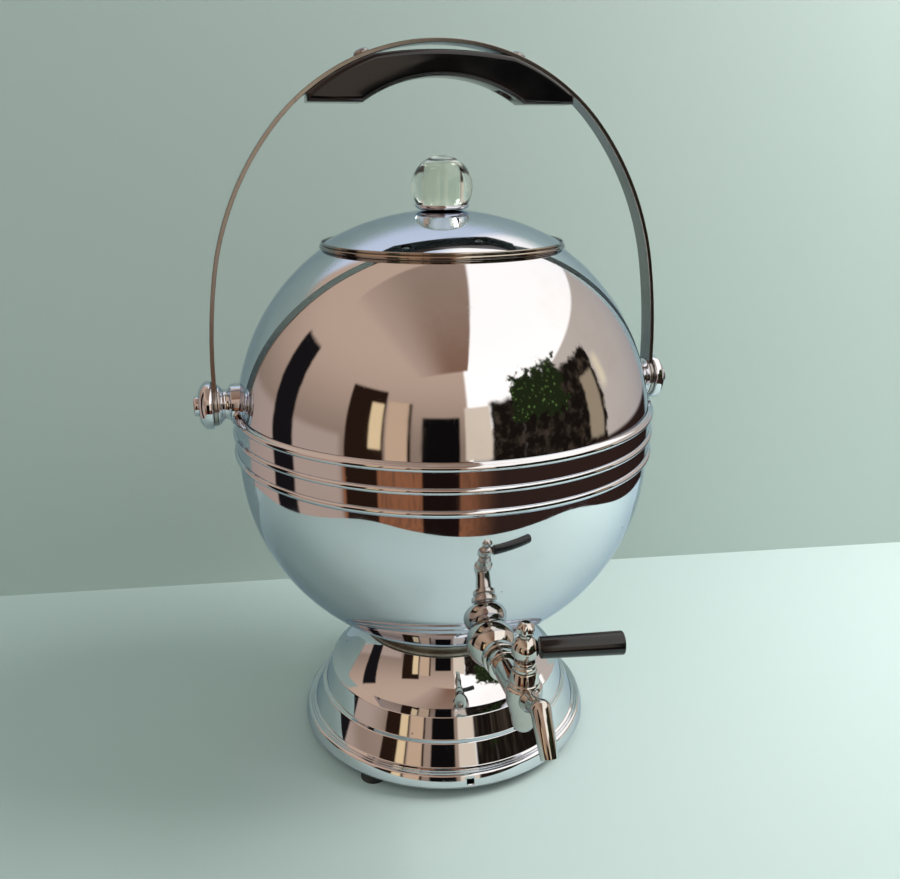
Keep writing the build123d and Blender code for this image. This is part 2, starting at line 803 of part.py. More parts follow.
# Lobed finial nut on top of the ball
finial_foot = ball_top - fit_gap
with BuildPart() as tap_finial:
    with BuildSketch(cock_face):
        with BuildLine():
            waist = Line((finial_waist, finial_foot), (finial_waist, finial_foot + finial_height / 5))
            swell = Spline(
                waist @ 1,
                (finial_radius, finial_foot + finial_height / 2),
                (finial_waist, finial_foot + finial_height),
                tangents=((1, 0), (-1, 0)),
            )
            Polyline(swell @ 1, (0, finial_foot + finial_height), (0, finial_foot), waist @ 0)
        make_face()
    revolve(axis=cock_axis)
    with BuildSketch(Plane.XY.offset(finial_foot + finial_height)):
        with Locations((0, cock_y)):
            with PolarLocations(finial_radius, finial_lobes):
                Circle(finial_groove_radius)
    extrude(amount=-finial_height, mode=Mode.SUBTRACT)
    with Locations((0, cock_y, ball_middle)):
        Sphere(ball_radius + seat_gap, mode=Mode.SUBTRACT)
save(tap_finial, "tap_finial")

# Handle and the stud that it is screwed on
handle_root = ball_radius + fit_gap
with BuildPart() as handle_stud:
    with BuildSketch(handle_plane.offset(fit_gap)):
        Circle(handle_stud_radius)
    extrude(amount=handle_root + handle_stud_depth)
save(handle_stud, "handle_stud")

with BuildPart() as tap_handle:
    with BuildSketch(handle_plane.offset(handle_root)):
        Circle(handle_root_radius)
    with BuildSketch(handle_plane.offset(handle_reach)):
        Circle(handle_end_radius)
    loft()
    fillet(tap_handle.edges().filter_by(GeomType.CIRCLE), handle_round)
    with BuildSketch(handle_plane.offset(handle_root)):
        Circle(handle_stud_radius + fit_gap)
    extrude(amount=handle_stud_depth + hole_gap, mode=Mode.SUBTRACT)
save(tap_handle, "tap_handle")

# Pivot bosses: a ring on the globe, a hollow-curved neck and a spigot for the strap's eye
pivot_drop = pivot_height - upper_centre
pivot_root = reach_at(globe_radius, pivot_drop)
pivot_inner_root = reach_at(globe_inner, pivot_drop + pivot_washer_radius)
ring_face = pivot_root + boss_ring_length
boss_face = pivot_root + boss_length
eye_inner = boss_face + fit_gap
eye_outer = eye_inner + strap_thickness
spigot_face = eye_outer + fit_gap
cap_face = spigot_face + cap_length
pivot_axis = Axis((0, 0, pivot_height), (1, 0, 0))
boss_root = reach_at(globe_radius, pivot_drop + boss_ring_radius) - sheet
with BuildPart() as pivot_boss_right:
    with BuildSketch(Plane.XZ):
        with BuildLine():
            Polyline(
                (boss_root, pivot_height),
                (boss_root, pivot_height + boss_ring_radius),
                (ring_face, pivot_height + boss_ring_radius),
                (ring_face, pivot_height + boss_flare_radius - boss_lip),
            )
            ThreePointArc(
                (ring_face, pivot_height + boss_flare_radius - boss_lip),
                ((ring_face + boss_face - boss_lip) / 2, pivot_height + boss_neck_radius),
                (boss_face - boss_lip, pivot_height + boss_flare_radius),
            )
            Polyline(
                (boss_face - boss_lip, pivot_height + boss_flare_radius),
                (boss_face, pivot_height + boss_flare_radius),
                (boss_face, pivot_height + spigot_radius),
                (spigot_face, pivot_height + spigot_radius),
                (spigot_face, pivot_height),
                (boss_root, pivot_height),
            )
        make_face()
    revolve(axis=pivot_axis)
    with Locations(globe_upper_middle):
        Sphere(globe_radius + seat_gap, mode=Mode.SUBTRACT)
    with BuildSketch(Plane.YZ):
        with Locations((0, pivot_height)):
            Circle(pivot_screw_radius + fit_gap)
    extrude(amount=spigot_face, mode=Mode.SUBTRACT)
save(pivot_boss_right, "pivot_boss_right")

with BuildPart() as pivot_boss_left:
    mirror(pivot_boss_right.part, about=Plane.YZ)
save(pivot_boss_left, "pivot_boss_left")

# Rounded caps outside the strap's eyes
cap_height = pivot_height + cap_radius
cap_bulge_height = pivot_height + cap_radius * cap_bulge_radius_share
cap_bulge = (spigot_face + cap_length * cap_bulge_length_share, cap_bulge_height)
with BuildPart() as pivot_cap_right:
    with BuildSketch(Plane.XZ):
        with BuildLine():
            rim = Line((spigot_face, cap_height), (spigot_face + cap_rim, cap_height))
            crown = ThreePointArc(rim @ 1, cap_bulge, (cap_face, pivot_height + button_radius))
            Polyline(
                crown @ 1,
                (cap_face, pivot_height + pivot_screw_radius + fit_gap),
                (spigot_face, pivot_height + pivot_screw_radius + fit_gap),
                rim @ 0,
            )
        make_face()
    revolve(axis=pivot_axis)
save(pivot_cap_right, "pivot_cap_right")

with BuildPart() as pivot_cap_left:
    mirror(pivot_cap_right.part, about=Plane.YZ)
save(pivot_cap_left, "pivot_cap_left")

# Button-headed pivot screws with their washers and nuts inside the globe
nut_face = pivot_inner_root - seat_gap - pivot_washer_height
with BuildPart() as pivot_screws:
    with BuildSketch(Plane.YZ.offset(cap_face)):
        with Locations((0, pivot_height)):
            Circle(button_radius)
    extrude(amount=button_length)
    fillet(pivot_screws.edges().group_by(Axis.X)[-1], button_length / 2)
    with BuildSketch(Plane.YZ.offset(cap_face)):
        with Locations((0, pivot_height)):
            Circle(pivot_screw_radius)
    extrude(amount=-(cap_face - nut_face + pivot_nut_height + stud_past_nut))
    mirror(about=Plane.YZ)
save(pivot_screws, "pivot_screws")

with BuildPart() as pivot_washers:
    with BuildSketch(Plane.YZ.offset(nut_face)):
        with Locations((0, pivot_height)):
            Circle(pivot_washer_radius)
            Circle(pivot_screw_radius + fit_gap, mode=Mode.SUBTRACT)
    extrude(amount=pivot_washer_height)
    mirror(about=Plane.YZ)
save(pivot_washers, "pivot_washers")

with BuildPart() as pivot_nuts:
    with BuildSketch(Plane.YZ.offset(nut_face)):
        with Locations((0, pivot_height)):
            RegularPolygon(pivot_nut_radius, 6)
            Circle(pivot_screw_radius + fit_gap, mode=Mode.SUBTRACT)
    extrude(amount=-pivot_nut_height)
    mirror(about=Plane.YZ)
save(pivot_nuts, "pivot_nuts")

# Bail strap. The crown's arc is given; the shoulder's and the arm's radii follow from where the
# strap has to end, upright over the pivot.
eye_middle = (eye_inner + eye_outer) / 2
crown_radius = eye_middle * crown_radius_share
strap_top = pivot_height + eye_middle * strap_rise_share
crown_end = radians(crown_turn)
shoulder_end = radians(crown_turn + shoulder_turn)
strap_crown = strap_top - strap_thickness / 2
arm_end = pivot_height + eye_straight
span_left = eye_middle - crown_radius * sin(crown_end)
drop_left = strap_crown - arm_end - crown_radius * (1 - cos(crown_end))
shoulder_span_share = sin(shoulder_end) - sin(crown_end)
shoulder_drop_share = cos(crown_end) - cos(shoulder_end)
arm_span_share = 1 - sin(shoulder_end)
arm_drop_share = cos(shoulder_end)
share_product = shoulder_span_share * arm_drop_share - arm_span_share * shoulder_drop_share
shoulder_radius = (span_left * arm_drop_share - drop_left * arm_span_share) / share_product
arm_bend_radius = (drop_left * shoulder_span_share - span_left * shoulder_drop_share) / share_product
arm_turn = 90 - crown_turn - shoulder_turn
with BuildPart() as bail_strap:
    with BuildSketch(Plane.XZ):
        with BuildLine() as strap_line:
            crown = JernArc((0, strap_crown), (1, 0), crown_radius, -crown_turn)
            shoulder = JernArc(crown @ 1, crown % 1, shoulder_radius, -shoulder_turn)
            arm = JernArc(shoulder @ 1, shoulder % 1, arm_bend_radius, -arm_turn)
            Line(arm @ 1, (eye_middle, pivot_height))
            mirror(about=Plane.YZ)
        trace(line_width=strap_thickness)
    extrude(amount=strap_width / 2, both=True)
    with BuildSketch(Plane.YZ.offset(eye_inner)):
        with Locations((0, pivot_height)):
            Circle(eye_radius)
    eye = extrude(amount=strap_thickness)
    mirror(eye, about=Plane.YZ)
    with BuildSketch(Plane.YZ):
        with Locations((0, pivot_height)):
            Circle(spigot_radius + fit_gap)
    extrude(amount=eye_outer + overrun, both=True, mode=Mode.SUBTRACT)
    grip_turn = degrees(asin(grip_screw_reach / crown_radius))
    strap_arc_middle = strap_crown - crown_radius
    screw_x = crown_radius * sin(radians(grip_turn))
    screw_z = strap_arc_middle + crown_radius * cos(radians(grip_turn))
    for side in (1, -1):
        screw_way = (side * sin(radians(grip_turn)), 0, cos(radians(grip_turn)))
        with BuildSketch(Plane(origin=(side * screw_x, 0, screw_z), z_dir=screw_way)):
            Circle(grip_screw_radius + fit_gap)
        extrude(amount=strap_thickness, both=True, mode=Mode.SUBTRACT)
save(bail_strap, "bail_strap")

# Grip: a moulded arch under the strap with a hollow-curved underside
strap_under = crown_radius - strap_thickness / 2 - seat_gap
grip_top = strap_top - strap_thickness - grip_crown_gap
grip_meet_z = strap_arc_middle + reach_at(strap_under, grip_meets_strap)
grip_tip_z = strap_arc_middle + reach_at(strap_under, grip_reach)
grip_foot_z = grip_tip_z - grip_tip_depth
grip_arch_z = grip_foot_z + grip_arch_rise
tip_turn = (asin(grip_reach / strap_under) + asin(grip_meets_strap / strap_under)) / 2
tip_middle = (strap_under * sin(tip_turn), strap_arc_middle + strap_under * cos(tip_turn))
with BuildPart() as grip:
    with BuildSketch(Plane.XZ):
        with BuildLine():
            ThreePointArc((-grip_meets_strap, grip_meet_z), (0, grip_top), (grip_meets_strap, grip_meet_z))
            ThreePointArc((grip_meets_strap, grip_meet_z), tip_middle, (grip_reach, grip_tip_z))
            Polyline((grip_reach, grip_tip_z), (grip_reach, grip_foot_z), (grip_foot, grip_foot_z))
            ThreePointArc((grip_foot, grip_foot_z), (0, grip_arch_z), (-grip_foot, grip_foot_z))
            Polyline((-grip_foot, grip_foot_z), (-grip_reach, grip_foot_z), (-grip_reach, grip_tip_z))
            ThreePointArc(
                (-grip_reach, grip_tip_z), (-tip_middle[0], tip_middle[1]), (-grip_meets_strap, grip_meet_z)
            )
        make_face()
    extrude(amount=grip_width / 2, both=True)
    chamfer(grip.edges().filter_by(GeomType.CIRCLE).sort_by(Axis.Z)[:2], grip_round)
    for side in (1, -1):
        grip_plane = Plane(
            origin=(
                side * strap_under * sin(radians(grip_turn)),
                0,
                strap_arc_middle + strap_under * cos(radians(grip_turn)),
            ),
            z_dir=(-side * sin(radians(grip_turn)), 0, -cos(radians(grip_turn))),
        )
        with BuildSketch(grip_plane):
            Circle(grip_screw_radius + fit_gap)
        extrude(amount=grip_nut_depth, mode=Mode.SUBTRACT)
        with BuildSketch(grip_plane.offset(grip_nut_depth)):
            Circle(grip_recess_radius)
        extrude(amount=grip_reach, mode=Mode.SUBTRACT)
save(grip, "grip")

with BuildPart() as grip_screws:
    for side in (1, -1):
        screw_way = (side * sin(radians(grip_turn)), 0, cos(radians(grip_turn)))
        screw_plane = Plane(origin=(side * screw_x, 0, screw_z), z_dir=screw_way)
        with BuildSketch(screw_plane.offset(strap_thickness / 2 + seat_gap)):
            Circle(grip_head_radius)
        extrude(amount=grip_head_height)
        with BuildSketch(screw_plane.offset(strap_thickness / 2 + seat_gap)):
            Circle(grip_screw_radius)
        extrude(amount=-(strap_thickness + grip_nut_depth + grip_nut_height + grip_screw_end))
save(grip_screws, "grip_screws")

with BuildPart() as grip_nuts:
    for side in (1, -1):
        nut_plane = Plane(
            origin=(
                side * (strap_under - grip_nut_depth) * sin(radians(grip_turn)),
                0,
                strap_arc_middle + (strap_under - grip_nut_depth) * cos(radians(grip_turn)),
            ),
            z_dir=(-side * sin(radians(grip_turn)), 0, -cos(radians(grip_turn))),
        )
        with BuildSketch(nut_plane):
            RegularPolygon(grip_nut_radius, 6)
            Circle(grip_screw_radius + fit_gap, mode=Mode.SUBTRACT)
        extrude(amount=grip_nut_height)
save(grip_nuts, "grip_nuts")

# Lid: a shallow dome that ends on its rim
lid_radius = mouth_hole_radius + lid_overhang
skirt_top = mouth_ring_top + skirt_flange
lid_edge = skirt_top - lid_edge_drop
lid_top = lid_edge + lid_dome_rise
dome_radius = (lid_radius**2 + lid_dome_rise**2) / (2 * lid_dome_rise)
dome_centre = lid_top - dome_radius
dome_inner = dome_radius - thin_sheet
dome_turn = degrees(acos(lid_radius / dome_radius))
with BuildPart() as lid_shell:
    with BuildSketch(Plane.XZ):
        with BuildLine():
            outside = CenterArc((0, dome_centre), dome_radius, dome_turn, 90 - dome_turn)
            inner_turn = degrees(acos(lid_radius / dome_inner))
            inside = CenterArc((0, dome_centre), dome_inner, inner_turn, 90 - inner_turn)
            Line(outside @ 0, inside @ 0)
            Line(outside @ 1, inside @ 1)
        make_face()
    revolve(axis=Axis.Z)
    with BuildSketch(Plane.XY.offset(dome_centre + dome_inner)):
        Circle(knob_screw_radius + fit_gap)
    extrude(amount=thin_sheet, both=True, mode=Mode.SUBTRACT)
save(lid_shell, "lid_shell")

# Rim of the lid: a web under the dome's edge, a rolled bead and a fine line above it
under_ball = globe_radius + lid_float
over_ball = dome_inner - seat_gap
web_inner = lid_radius - rim_web
bead_reach = lid_radius + rim_bead_radius
line_reach = lid_radius + rim_line_radius
bead_level = dome_level(under_ball, bead_reach) + rim_bead_lift
with BuildPart() as lid_rim:
    with BuildSketch(Plane.XZ):
        with BuildLine():
            under = RadiusArc(
                (web_inner, dome_level(under_ball, web_inner)),
                (bead_reach, dome_level(under_ball, bead_reach)),
                under_ball,
            )
            Polyline(
                under @ 1,
                (line_reach + seat_gap, lid_edge),
                (lid_radius + seat_gap, lid_edge),
                (lid_radius + seat_gap, dome_centre + reach_at(over_ball, lid_radius)),
                (web_inner, dome_centre + reach_at(over_ball, web_inner)),
                under @ 0,
            )
        make_face()
        with Locations((bead_reach, bead_level)):
            Circle(rim_bead_radius)
        with Locations((line_reach, lid_edge + rim_line_lift)):
            Circle(rim_line_radius)
    revolve(axis=Axis.Z)
save(lid_rim, "lid_rim")

# Skirt that drops into the mouth, with a flange that rests on the mouth ring
skirt_outer = mouth_ring_inner - skirt_gap
skirt_inner = skirt_outer - thin_sheet
with BuildPart() as lid_skirt:
    with BuildSketch(Plane.XZ):
        Polygon(
            (skirt_inner, mouth_ring_top - skirt_depth),
            (skirt_outer, mouth_ring_top - skirt_depth),
            (skirt_outer, mouth_ring_top),
            (mouth_ring_outer, mouth_ring_top),
            (mouth_ring_outer, skirt_top),
            (skirt_inner, skirt_top),
            align=None,
        )
    revolve(axis=Axis.Z)
save(lid_skirt, "lid_skirt")

# Ferrule: a shallow cup on the lid that holds the glass
ferrule_top_radius = knob_radius - ferrule_overhang
ferrule_foot_radius = ferrule_top_radius - ferrule_taper
ferrule_bottom = lid_top + seat_gap
ferrule_floor = ferrule_bottom + thin_sheet
ferrule_top = ferrule_bottom + ferrule_height
with BuildPart() as knob_ferrule:
    with BuildSketch(Plane.XZ):
        with BuildLine():
            bottom = Line((0, ferrule_bottom), (ferrule_foot_radius, ferrule_bottom))
            cup = RadiusArc(bottom @ 1, (ferrule_top_radius, ferrule_top), -ferrule_top_radius)
            Polyline(
                cup @ 1,
                (ferrule_top_radius - thin_sheet, ferrule_top),
                (ferrule_foot_radius + seat_gap, ferrule_floor),
                (0, ferrule_floor),
                (0, ferrule_bottom),
            )
        make_face()
    revolve(axis=Axis.Z)
    with BuildSketch(Plane.XY.offset(ferrule_bottom)):
        Circle(knob_screw_radius + fit_gap)
    extrude(amount=thin_sheet, mode=Mode.SUBTRACT)
save(knob_ferrule, "knob_ferrule")

# Hollow glass knob, open below
knob_cavity_radius = knob_radius * knob_cavity_share
knob_middle = lid_top + knob_radius * knob_lift_share
knob_foot = ferrule_floor + seat_gap
knob_foot_turn = degrees(asin((knob_middle - knob_foot) / knob_radius))
cavity_top = knob_middle + knob_radius - knob_crown_wall
cavity_flat = knob_cavity_radius - knob_cavity_round
with BuildPart() as glass_knob:
    with BuildSketch(Plane.XZ):
        with BuildLine():
            ball = CenterArc((0, knob_middle), knob_radius, -knob_foot_turn, 90 + knob_foot_turn)
            shoulder = CenterArc((cavity_flat, cavity_top - knob_cavity_round), knob_cavity_round, 0, 90)
            Polyline(ball @ 1, (0, cavity_top), shoulder @ 1)
            Polyline(shoulder @ 0, (knob_cavity_radius, knob_foot), ball @ 0)
        make_face()
    revolve(axis=Axis.Z)
save(glass_knob, "glass_knob")

# Screw, washer and nut that hold the ferrule to the lid
with BuildPart() as knob_screw:
    with BuildSketch(Plane.XY.offset(ferrule_floor)):
        Circle(knob_head_radius)
    extrude(amount=knob_head_height)
    fillet(knob_screw.edges().group_by(Axis.Z)[-1], knob_head_height / 3)
    with BuildSketch(Plane.XY.offset(ferrule_floor)):
        Circle(knob_screw_radius)
    extrude(amount=-knob_screw_drop)
save(knob_screw, "knob_screw")

dome_underside = dome_centre + reach_at(dome_inner, knob_washer_radius)
with BuildPart() as knob_washer:
    with BuildSketch(Plane.XY.offset(dome_underside)):
        Circle(knob_washer_radius)
        Circle(knob_screw_radius + fit_gap, mode=Mode.SUBTRACT)
    extrude(amount=-washer_height)
save(knob_washer, "knob_washer")

with BuildPart() as knob_nut:
    with BuildSketch(Plane.XY.offset(dome_underside - washer_height)):
        RegularPolygon(knob_nut_radius, 6)
        Circle(knob_screw_radius + fit_gap, mode=Mode.SUBTRACT)
    extrude(amount=-knob_nut_height)
save(knob_nut, "knob_nut")
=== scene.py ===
from math import acos, asin, atan2, cos, degrees, pi, radians, sin, sqrt, tan

import bmesh
import bpy
from mathutils import Matrix, Vector


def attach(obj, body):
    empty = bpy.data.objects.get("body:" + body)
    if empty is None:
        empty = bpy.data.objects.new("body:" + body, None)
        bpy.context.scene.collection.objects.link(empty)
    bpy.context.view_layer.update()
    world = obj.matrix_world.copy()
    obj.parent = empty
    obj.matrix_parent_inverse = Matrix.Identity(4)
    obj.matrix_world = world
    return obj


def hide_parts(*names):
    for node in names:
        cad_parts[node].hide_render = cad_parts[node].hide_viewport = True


# An electric samovar: a chromed globe on a stepped base. Metres, +Z up, in the frame of the model:
# the origin is on the table under the globe's axis, the tap points along -Y.

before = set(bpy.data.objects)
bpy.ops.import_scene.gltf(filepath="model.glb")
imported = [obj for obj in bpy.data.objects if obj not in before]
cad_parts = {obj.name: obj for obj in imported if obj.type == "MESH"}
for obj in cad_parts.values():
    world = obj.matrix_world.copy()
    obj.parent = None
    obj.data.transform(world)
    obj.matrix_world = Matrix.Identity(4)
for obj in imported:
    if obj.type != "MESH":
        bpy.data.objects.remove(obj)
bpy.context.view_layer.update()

# Driving sizes; sheet is the globe's wall, skin the hair's breadth between faces that lie on each other
globe_radius = 0.105
sheet = 0.001
skin = 0.00005
base_height = 0.0604
neck_height = 0.0053
neck_radius = 0.043
centre_gap = 0.016
mouth_radius = 0.0556
belt_rise = 0.0025
belt_tall = 0.0244
lid_radius = 0.0582
lid_top = 0.2823
pivot_lift = 0.014
boss_length = 0.0093
spigot_length = 0.0022
tap_drop_share = 0.6333
cock_reach = 0.0557
gland_rise = 0.008
gland_tall = 0.0065
strap_half = 0.001
strap_rise_share = 1.46
crown_radius_share = 0.9

# What follows from them
globe_bottom = base_height + neck_height
lower_centre = globe_bottom + sqrt(globe_radius**2 - neck_radius**2)
upper_centre = lower_centre + centre_gap
belt_low = lower_centre + belt_rise
seam = belt_low + belt_tall / 2
pivot_height = upper_centre + pivot_lift
pivot_surface = sqrt(globe_radius**2 - pivot_lift**2)
pivot_face = pivot_surface + boss_length
tap_drop = globe_radius * tap_drop_share
tap_height = lower_centre - tap_drop
tap_root = sqrt(globe_radius**2 - tap_drop**2)
cock_y = -(tap_root + cock_reach)
gland_low = tap_height + gland_rise
eye_middle = pivot_face + spigot_length / 2
crown_radius = eye_middle * crown_radius_share
strap_top = pivot_height + eye_middle * strap_rise_share
strap_crown = strap_top - strap_half

Z_AXIS = Vector((0, 0, 1))


def arc(centre, radius, start, end, steps):
    """Points of an arc in a profile; angles in degrees, 0 points outwards and 90 upwards."""
    ways = [radians(start + (end - start) / steps * i) for i in range(steps + 1)]
    return [(centre[0] + radius * cos(way), centre[1] + radius * sin(way)) for way in ways]


def rounded(points, radius, steps=5):
    """The same profile with every inner corner rounded; radius is one value or one for each corner."""
    out = [points[0]]
    for i in range(1, len(points) - 1):
        before, corner, after = (Vector(points[i + k]).to_2d() for k in (-1, 0, 1))
        size = radius[i - 1] if isinstance(radius, (list, tuple)) else radius
        back = before - corner
        ahead = after - corner
        turn = back.angle(ahead)
        if size <= 0 or turn > radians(178):
            out.append(tuple(corner))
            continue
        reach = min(size / tan(turn / 2), back.length * 0.48, ahead.length * 0.48)
        first = corner + back.normalized() * reach
        last = corner + ahead.normalized() * reach
        for k in range(steps + 1):
            share = k / steps
            out.append(tuple((1 - share) ** 2 * first + 2 * share * (1 - share) * corner + share**2 * last))
    out.append(points[-1])
    return out


def place_on(origin, along, across=None):
    """The matrix that stands a lathe's own Z axis on this line."""
    along = Vector(along).normalized()
    if across is None:
        across = (1, 0, 0) if abs(along.x) < 0.9 else (0, 1, 0)
    across = Vector(across)
    side = (across - along * across.dot(along)).normalized()
    turned = Matrix((side, along.cross(side), along)).transposed().to_4x4()
    return Matrix.Translation(Vector(origin)) @ turned


def pivot_line(side):
    """The bail's own axis, from the globe outwards: side is 1 on the right and -1 on the left."""
    return place_on((0, 0, pivot_height), (side, 0, 0), Z_AXIS)


def as_piece(mesh_maker, name, sharp=35):
    """Close a bmesh into an object with smooth faces and sharp edges where the surface really turns."""
    bmesh.ops.remove_doubles(mesh_maker, verts=mesh_maker.verts, dist=1e-6)
    bmesh.ops.recalc_face_normals(mesh_maker, faces=mesh_maker.faces)
    for face in mesh_maker.faces:
        face.smooth = True
    for edge in mesh_maker.edges:
        edge.smooth = len(edge.link_faces) != 2 or edge.calc_face_angle(0) < radians(sharp)
    mesh = bpy.data.meshes.new(name)
    mesh_maker.to_mesh(mesh)
    mesh_maker.free()
    piece = bpy.data.objects.new(name, mesh)
    bpy.context.scene.collection.objects.link(piece)
    return piece


def lathe_mesh(profile, matrix=None, steps=192, closed=True):
    """A profile of (radius, height) points turned a full round about its own axis."""
    turned = bmesh.new()
    verts = [turned.verts.new((r, 0, z)) for r, z in profile]
    edges = [turned.edges.new(pair) for pair in zip(verts, verts[1:])]
    if closed:
        edges.append(turned.edges.new((verts[-1], verts[0])))
    round_z = {"cent": (0, 0, 0), "axis": (0, 0, 1), "angle": 2 * pi}
    bmesh.ops.spin(turned, geom=verts + edges, steps=steps, use_merge=True, **round_z)
    bmesh.ops.remove_doubles(turned, verts=turned.verts, dist=1e-7)
    if matrix is not None:
        bmesh.ops.transform(turned, matrix=matrix, verts=turned.verts)
    return turned


def lathe(name, profile, matrix=None, steps=192, closed=True, sharp=35):
    return as_piece(lathe_mesh(profile, matrix, steps, closed), name, sharp)


def prism_mesh(outline, start, depth):
    """An outline of (x, z) points, pushed along Y from start by depth."""
    made = bmesh.new()
    face = made.faces.new([made.verts.new((x, start, z)) for x, z in outline])
    grown = bmesh.ops.extrude_face_region(made, geom=[face])["geom"]
    moved = [part for part in grown if isinstance(part, bmesh.types.BMVert)]
    bmesh.ops.translate(made, vec=(0, depth, 0), verts=moved)
    return made


def join(target, other):
    """Add the other bmesh's faces to the target."""
    spare = bpy.data.meshes.new("spare")
    other.to_mesh(spare)
    other.free()
    target.from_mesh(spare)
    bpy.data.meshes.remove(spare)
    return target


def cut(piece, cutter):
    """Cut one piece with another, and keep the result as the piece's own mesh."""
    tool = piece.modifiers.new("cut", "BOOLEAN")
    tool.operation = "DIFFERENCE"
    tool.object = cutter
    tool.solver = "EXACT"
    shaped = bpy.data.meshes.new_from_object(piece.evaluated_get(bpy.context.evaluated_depsgraph_get()))
    merged = bmesh.new()
    merged.from_mesh(shaped)
    bmesh.ops.remove_doubles(merged, verts=merged.verts, dist=2e-6)
    merged.to_mesh(shaped)
    merged.free()
    piece.modifiers.remove(tool)
    piece.data = shaped
    bpy.data.objects.remove(cutter)
    return piece


def hand_in(piece, material, body, slot, *nodes):
    """Give a finished piece its material, the body it moves with and the solids it stands for."""
    piece.data.materials.clear()
    piece.data.materials.append(material)
    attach(piece, body)
    if nodes:
        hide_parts(*nodes)
    return piece


def dress(material, *nodes):
    """Paint solids of the model that stay as they are."""
    for name in nodes:
        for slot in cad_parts[name].material_slots:
            slot.material = material


# Shader maths


class Flow:
    """An output socket that can be used in sums."""

    def __init__(self, tree, socket):
        self.tree = tree
        self.socket = socket

    def maths(self, operation, *values):
        maths = self.tree.nodes.new("ShaderNodeMath")
        maths.operation = operation
        for place, value in zip(maths.inputs, values):
            if isinstance(value, Flow):
                self.tree.links.new(value.socket, place)
            else:
                place.default_value = value
        return Flow(self.tree, maths.outputs[0])

    def __add__(self, other):
        return self.maths("ADD", self, other)

    __radd__ = __add__

    def __sub__(self, other):
        return self.maths("SUBTRACT", self, other)

    def __rsub__(self, other):
        return self.maths("SUBTRACT", other, self)

    def __mul__(self, other):
        return self.maths("MULTIPLY", self, other)

    __rmul__ = __mul__

    def __truediv__(self, other):
        return self.maths("DIVIDE", self, other)

    def __gt__(self, other):
        return self.maths("GREATER_THAN", self, other)

    def __abs__(self):
        return self.maths("ABSOLUTE", self)

    def between(self, low, high):
        """0 below low, 1 above high, and a smooth step from one to the other."""
        step = self.tree.nodes.new("ShaderNodeMapRange")
        step.interpolation_type = "SMOOTHSTEP"
        self.tree.links.new(self.socket, step.inputs["Value"])
        step.inputs["From Min"].default_value = low
        step.inputs["From Max"].default_value = high
        return Flow(self.tree, step.outputs["Result"])


class Finish:
    """The nodes of one material or of the world."""

    def __init__(self, tree):
        self.tree = tree
        tree.nodes.clear()

    def node(self, kind, settings=None, output=0, **sockets):
        """Any node; a socket is given by its name, or by i and its number."""
        made = self.tree.nodes.new("ShaderNode" + kind)
        for name, value in (settings or {}).items():
            setattr(made, name, value)
        for name, value in sockets.items():
            numbered = name[0] == "i" and name[1:].isdigit()
            place = made.inputs[int(name[1:]) if numbered else name.replace("_", " ")]
            if isinstance(value, Flow):
                self.tree.links.new(value.socket, place)
            else:
                place.default_value = (*value, 1) if place.type == "RGBA" and len(value) == 3 else value
        return Flow(self.tree, made.outputs[output] if made.outputs else None)

    def spot(self, scale=(1, 1, 1)):
        """Where a point is on the piece, stretched by scale."""
        where = self.node("TexCoord", output="Object")
        return self.node("Mapping", Vector=where, Scale=scale)

    def noise(self, size, detail=3.0, stretch=(1, 1, 1), roughness=0.5):
        """Soft noise from 0 to 1 whose blotches are about size metres across."""
        where = self.spot(stretch)
        return self.node("TexNoise", Vector=where, Scale=1 / size, Detail=detail, Roughness=roughness)

    def mix(self, share, one, other):
        """Colour one where share is 0 and the other where it is 1."""
        return self.node("Mix", {"data_type": "RGBA"}, output=2, i0=share, i6=one, i7=other)

    def split(self, where):
        """The x, y and z of a place or direction."""
        parts = self.node("SeparateXYZ", Vector=where).socket.node
        return [Flow(self.tree, out) for out in parts.outputs]

    def bump(self, height, depth, strength=1.0):
        return self.node("Bump", Height=height, Distance=depth, Strength=strength)

    def surface(self, **sockets):
        self.node("OutputMaterial", Surface=self.node("BsdfPrincipled", **sockets))


def material(name):
    made = bpy.data.materials.new(name)
    made.use_nodes = True
    return made, Finish(made.node_tree)


def chrome(name, bright=(0.78, 0.80, 0.84), dull=(0.66, 0.66, 0.66), gloss=0.03, wear=1.0):
    """Old bright plating: faint stains, hairline scratches, smudges and a few pits."""
    made, f = material(name)
    stain = f.noise(0.045, 4).between(0.50, 0.78)
    smudge = f.noise(0.018, 5).between(0.45, 0.80)
    hairs = f.noise(0.0016, 2, (1, 1, 0.035)).between(0.66, 0.74)
    hairs += f.noise(0.0018, 2, (0.05, 1, 1)).between(0.68, 0.75)
    pits = f.node("TexVoronoi", Vector=f.spot(), Scale=230.0, output="Distance").between(0.16, 0.10)
    sparse = f.noise(0.011, 2).between(0.66, 0.74)
    pit = pits * sparse * wear
    tone = f.mix(stain * 0.55 * wear, bright, dull)
    tone = f.mix(pit * 0.85, tone, (0.10, 0.06, 0.035))
    rough = gloss + smudge * 0.045 * wear + hairs * 0.05 * wear + pit * 0.35
    grain = f.bump(f.noise(0.012, 2) + hairs * -0.02 + pit * -0.05, 0.00004, 0.30)
    # The bluish specular tint is a painted bluish reflection along the plating's grazing edges.
    f.surface(Base_Color=tone, Metallic=1.0, Roughness=rough, Specular_Tint=(0.62, 0.67, 0.77), Normal=grain)
    return made


def worn_plating(name, tone=(0.42, 0.40, 0.36), rough=0.28):
    """Plating that has gone dull, with brown in random patches."""
    made, f = material(name)
    patch = f.noise(0.012, 5).between(0.40, 0.70)
    grain = f.bump(f.noise(0.0012, 3), 0.00003, 0.4)
    colour = f.mix(patch * 0.6, tone, (0.22, 0.18, 0.13))
    f.surface(Base_Color=colour, Metallic=1.0, Roughness=rough + patch * 0.15, Normal=grain)
    return made


